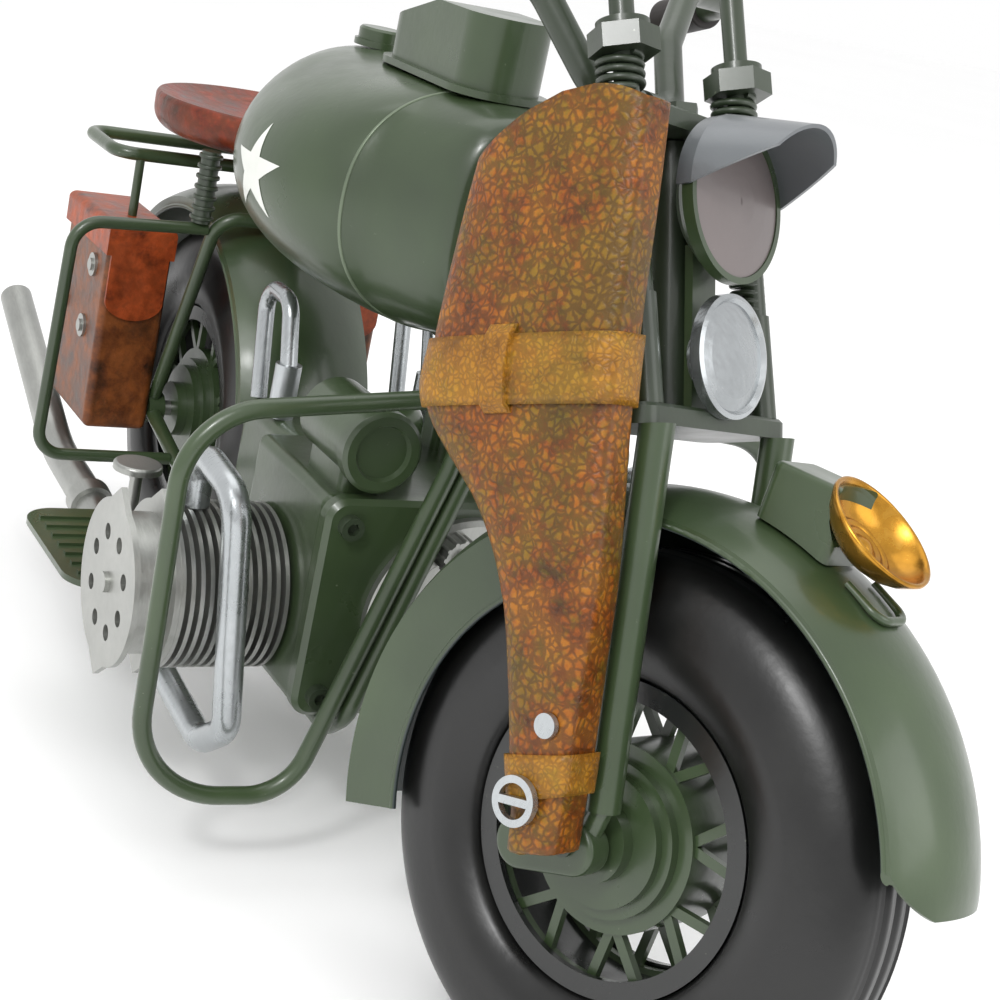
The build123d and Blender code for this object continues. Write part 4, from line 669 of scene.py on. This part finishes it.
def tyre_section(sizes):
    """The tyre's closed section as (radius, across) pairs in millimetres: round walls and a grooved tread."""
    walls = []
    for step in range(25):
        turn = math.pi * (0.06 + 0.39 * step / 24)
        walls.append((31.2 + 24.5 * math.sin(turn) ** 0.62, 15.0 * math.cos(turn) ** 0.62))
    walls = [(r, a) for r, a in walls if a > sizes.groove_gap + 1.6]
    tread = []
    for middle in (sizes.groove_gap, 0.0, -sizes.groove_gap):
        tread += [(55.95, middle + 0.8), (55.95 - sizes.groove_depth, middle + 0.35), (55.95 - sizes.groove_depth, middle - 0.35),
                  (55.95, middle - 0.8)]
    half = [(31.2, 10.5), (33.0, 13.2)] + walls
    return half + tread + [(r, -a) for r, a in reversed(half)]


class TYRES_OT_turn(bpy.types.Operator):
    """Turns both tyres from one grooved section"""
    bl_idname = "tintoy.tyres"
    bl_label = "Turn Tyres"

    def execute(self, context):
        sizes = context.scene.tyre_settings
        section = tyre_section(sizes)
        many = len(section)
        for name, middle, place, body in (("front", 126.0, turned, "front_wheel"),
                                          ("rear", -126.0, lambda c: Vector(c) * MM, "rear_wheel")):
            corners = []
            for step in range(sizes.steps):
                turn = 2 * math.pi * step / sizes.steps
                corners += [place((middle + r * math.cos(turn), a, 56.0 + r * math.sin(turn))) for r, a in section]
            faces = [(s * many + k, s * many + (k + 1) % many, (s + 1) % sizes.steps * many + (k + 1) % many,
                      (s + 1) % sizes.steps * many + k) for s in range(sizes.steps) for k in range(many)]
            settle(new_piece(name + "_grooved_tyre", corners, faces, "tyre"), body, "tyre", name + "_tyre")
        return {"FINISHED"}


# ---------------------------------------------------------------- mudguard lamp
# The bowl's closed section: (along its axis, radius) in millimetres, from the back, round the rolled rim, to the bullseye.
BOWL_SECTION = [(-5.0, 0.0), (-5.0, 3.6), (-4.6, 5.4), (-3.4, 7.6), (-1.8, 9.4), (-0.2, 10.5), (0.5, 10.95), (1.0, 10.9),
                (1.15, 10.5), (0.9, 10.1), (0.2, 9.9), (-1.4, 8.8), (-2.6, 7.5), (-3.4, 6.2), (-3.5, 5.7), (-3.0, 5.4),
                (-2.9, 5.0), (-3.3, 4.7), (-3.4, 4.2), (-3.0, 3.8), (-2.9, 3.3), (-3.3, 2.9), (-3.1, 2.2), (-2.5, 1.4),
                (-2.2, 0.6), (-2.1, 0.0)]


class LampSettings(bpy.types.PropertyGroup):
    """Place and lean of the mudguard lamp."""
    lean: FloatProperty(name="Lean", description="How far the bowl faces up from straight ahead", default=math.radians(58), subtype="ANGLE")
    scale: FloatProperty(name="Scale", description="Size of the bowl against its drawn section", default=1.12, min=0.5)
    middle: FloatVectorProperty(name="Middle", description="Middle of the rim beside the straight-ahead wheel, in millimetres",
                                default=(150.6, 0.0, 129.4), subtype="XYZ")
    steps: IntProperty(name="Steps", description="Steps round the bowl", default=72, min=16)


class LAMP_OT_spin(bpy.types.Operator):
    """Spins the amber bowl with its rolled rim and ringed bullseye"""
    bl_idname = "tintoy.lamp"
    bl_label = "Spin Mudguard Lamp"

    def execute(self, context):
        sizes = context.scene.lamp_settings
        out = Vector((math.cos(sizes.lean), 0, math.sin(sizes.lean)))
        side, up = Vector((0, 1, 0)), out.cross(Vector((0, 1, 0)))
        corners, many = [], len(BOWL_SECTION)
        for step in range(sizes.steps):
            turn = 2 * math.pi * step / sizes.steps
            spoke = side * math.cos(turn) + up * math.sin(turn)
            corners += [turned(Vector(sizes.middle) + (out * a + spoke * r) * sizes.scale) for a, r in BOWL_SECTION]
        faces = [(s * many + k, s * many + k + 1, (s + 1) % sizes.steps * many + k + 1, (s + 1) % sizes.steps * many + k)
                 for s in range(sizes.steps) for k in range(many - 1)]
        bowl = new_piece("guard_lamp_bowl", corners, faces, "amber")
        settle(bowl, "fork", "amber", "guard_lamp")
        return {"FINISHED"}


# ---------------------------------------------------------------- finishes on the frame
class FRAME_OT_finishes(bpy.types.Operator):
    """Gives every CAD node the finish of the real surface"""
    bl_idname = "tintoy.finishes"
    bl_label = "Paint the Frame Parts"

    def execute(self, context):
        for finish, names in FINISH_OF.items():
            for name in names.split():
                give_finish(NODES[name], finish)
        return {"FINISHED"}


# ---------------------------------------------------------------- stage
class StageSettings(bpy.types.PropertyGroup):
    """Camera and light of the studio."""
    camera_place: FloatVectorProperty(name="Camera place", description="Where the camera stands", default=(0.3942, -0.2117, 0.2235), subtype="XYZ")
    camera_heading: FloatProperty(name="Camera heading", description="Turn of the view about Z, from +Y towards -X", default=math.radians(58.8), subtype="ANGLE")
    camera_dip: FloatProperty(name="Camera dip", description="How far the view looks down", default=math.radians(17.6), subtype="ANGLE")
    camera_roll: FloatProperty(name="Camera roll", description="Lean of the camera about its view", default=math.radians(12.5), subtype="ANGLE")
    camera_lens: FloatProperty(name="Lens", description="Focal length in millimetres on a 36 mm sensor", default=68.78)
    key_power: FloatProperty(name="Key light", description="Power of the large front light", default=2.8, subtype="POWER")
    room_light: FloatProperty(name="Room light", description="Strength of the even white light all round", default=1.0, min=0.0)


def soft_light(name, place, aim, size, power):
    """A square soft box that looks at a point."""
    lamp = bpy.data.lights.new(name, "AREA")
    lamp.shape, lamp.size, lamp.energy = "SQUARE", size, power
    holder = bpy.data.objects.new(name, lamp)
    holder.location = place
    holder.rotation_euler = (Vector(aim) - Vector(place)).to_track_quat("-Z", "Y").to_euler()
    bpy.context.scene.collection.objects.link(holder)
    return holder


class STAGE_OT_build(bpy.types.Operator):
    """Sets up the pale floor, the soft lights and the camera"""
    bl_idname = "tintoy.stage"
    bl_label = "Build Stage"

    def execute(self, context):
        sizes = context.scene.stage_settings
        camera = bpy.data.objects.new("camera", bpy.data.cameras.new("camera"))
        camera.data.lens, camera.data.sensor_width = sizes.camera_lens, 36.0
        camera.data.clip_start, camera.data.clip_end = 0.01, 20.0
        turn, dip, roll = sizes.camera_heading, sizes.camera_dip, sizes.camera_roll
        ahead = Vector((-math.sin(turn) * math.cos(dip), math.cos(turn) * math.cos(dip), -math.sin(dip)))
        right = Vector((math.cos(turn), math.sin(turn), 0))
        up = right.cross(ahead)
        across = right * math.cos(roll) + up * math.sin(roll)
        above = up * math.cos(roll) - right * math.sin(roll)
        pose = Matrix((across, above, -ahead)).transposed().to_4x4()
        pose.translation = Vector(sizes.camera_place)
        camera.matrix_world = pose
        context.scene.collection.objects.link(camera)
        context.scene.camera = camera

        floor = bpy.data.meshes.new("floor")
        floor.from_pydata([(-4, -4, -0.0002), (4, -4, -0.0002), (4, 4, -0.0002), (-4, 4, -0.0002)], [], [(0, 1, 2, 3)])
        ground = bpy.data.objects.new("floor", floor)
        context.scene.collection.objects.link(ground)
        paper, tree, shader, where = new_material("matt white paper")
        fibre = add_node(tree, "ShaderNodeTexNoise", None, {"Vector": where, "Scale": per_mm(300), "Detail": 2.0})
        shade = add_node(tree, "ShaderNodeValToRGB", None, {"Fac": fibre.outputs["Fac"]})
        tree.links.new(colour_steps(shade, [(0.3, "#fdfdfd"), (0.7, "#ffffff")]), shader.inputs["Base Color"])
        shader.inputs["Roughness"].default_value = 0.9
        floor.materials.append(paper)

        world = bpy.data.worlds.new("white room")
        world.use_nodes = True
        room = next(n for n in world.node_tree.nodes if n.type == "BACKGROUND")
        room.inputs["Color"].default_value = (1.0, 1.0, 1.0, 1.0)
        room.inputs["Strength"].default_value = sizes.room_light
        context.scene.world = world
        soft_light("key", (0.5, -0.55, 0.75), (0, 0, 0.1), 0.5, sizes.key_power)
        soft_light("side", (0.75, 0.45, 0.5), (0, 0, 0.1), 0.5, sizes.key_power * 0.6)
        soft_light("top", (-0.2, 0.0, 0.95), (0, 0, 0.1), 0.7, sizes.key_power * 0.6)
        soft_light("glint", (0.42, -0.5, 0.62), (-0.03, -0.03, 0.16), 0.10, sizes.key_power * 0.5)
        context.scene.view_settings.view_transform = "Standard"
        return {"FINISHED"}


class TINTOY_PT_panel(bpy.types.Panel):
    """Lists the toy's pieces and their sizes"""
    bl_label = "Tin Toy Motorcycle"
    bl_idname = "TINTOY_PT_panel"
    bl_space_type = "VIEW_3D"
    bl_region_type = "UI"
    bl_category = "Tin Toy"

    def draw(self, context):
        for settings, operator in PANEL_ROWS:
            box = self.layout.box()
            if settings:
                group = getattr(context.scene, settings)
                for name in group.bl_rna.properties.keys():
                    if name not in ("rna_type", "name"):
                        box.prop(group, name)
            box.operator(operator)


GROUPS = {"stage_settings": StageSettings, "tank_settings": TankSettings, "spring_settings": SpringSettings,
          "scabbard_settings": ScabbardSettings, "tyre_settings": TyreSettings,
          "lamp_settings": LampSettings}
PANEL_ROWS = [("stage_settings", "tintoy.stage"), (None, "tintoy.finishes"), ("tank_settings", "tintoy.tank"),
              ("spring_settings", "tintoy.springs"), ("scabbard_settings", "tintoy.scabbard"), ("tyre_settings", "tintoy.tyres"), ("lamp_settings", "tintoy.lamp")]
CLASSES = (*GROUPS.values(), STAGE_OT_build, FRAME_OT_finishes, TANK_OT_skin, SPRINGS_OT_wind, SCABBARD_OT_form, TYRES_OT_turn, LAMP_OT_spin,
           TINTOY_PT_panel)


def register():
    for kind in CLASSES:
        bpy.utils.register_class(kind)
    for name, group in GROUPS.items():
        setattr(bpy.types.Scene, name, PointerProperty(type=group))


def unregister():
    for name in GROUPS:
        delattr(bpy.types.Scene, name)
    for kind in reversed(CLASSES):
        bpy.utils.unregister_class(kind)


def main():
    """Builds every piece in order."""
    register()
    bpy.ops.tintoy.stage()
    bpy.ops.tintoy.finishes()
    bpy.ops.tintoy.tank()
    bpy.ops.tintoy.springs()
    bpy.ops.tintoy.scabbard()
    bpy.ops.tintoy.tyres()
    bpy.ops.tintoy.lamp()


if __name__ == "__main__":
    main()
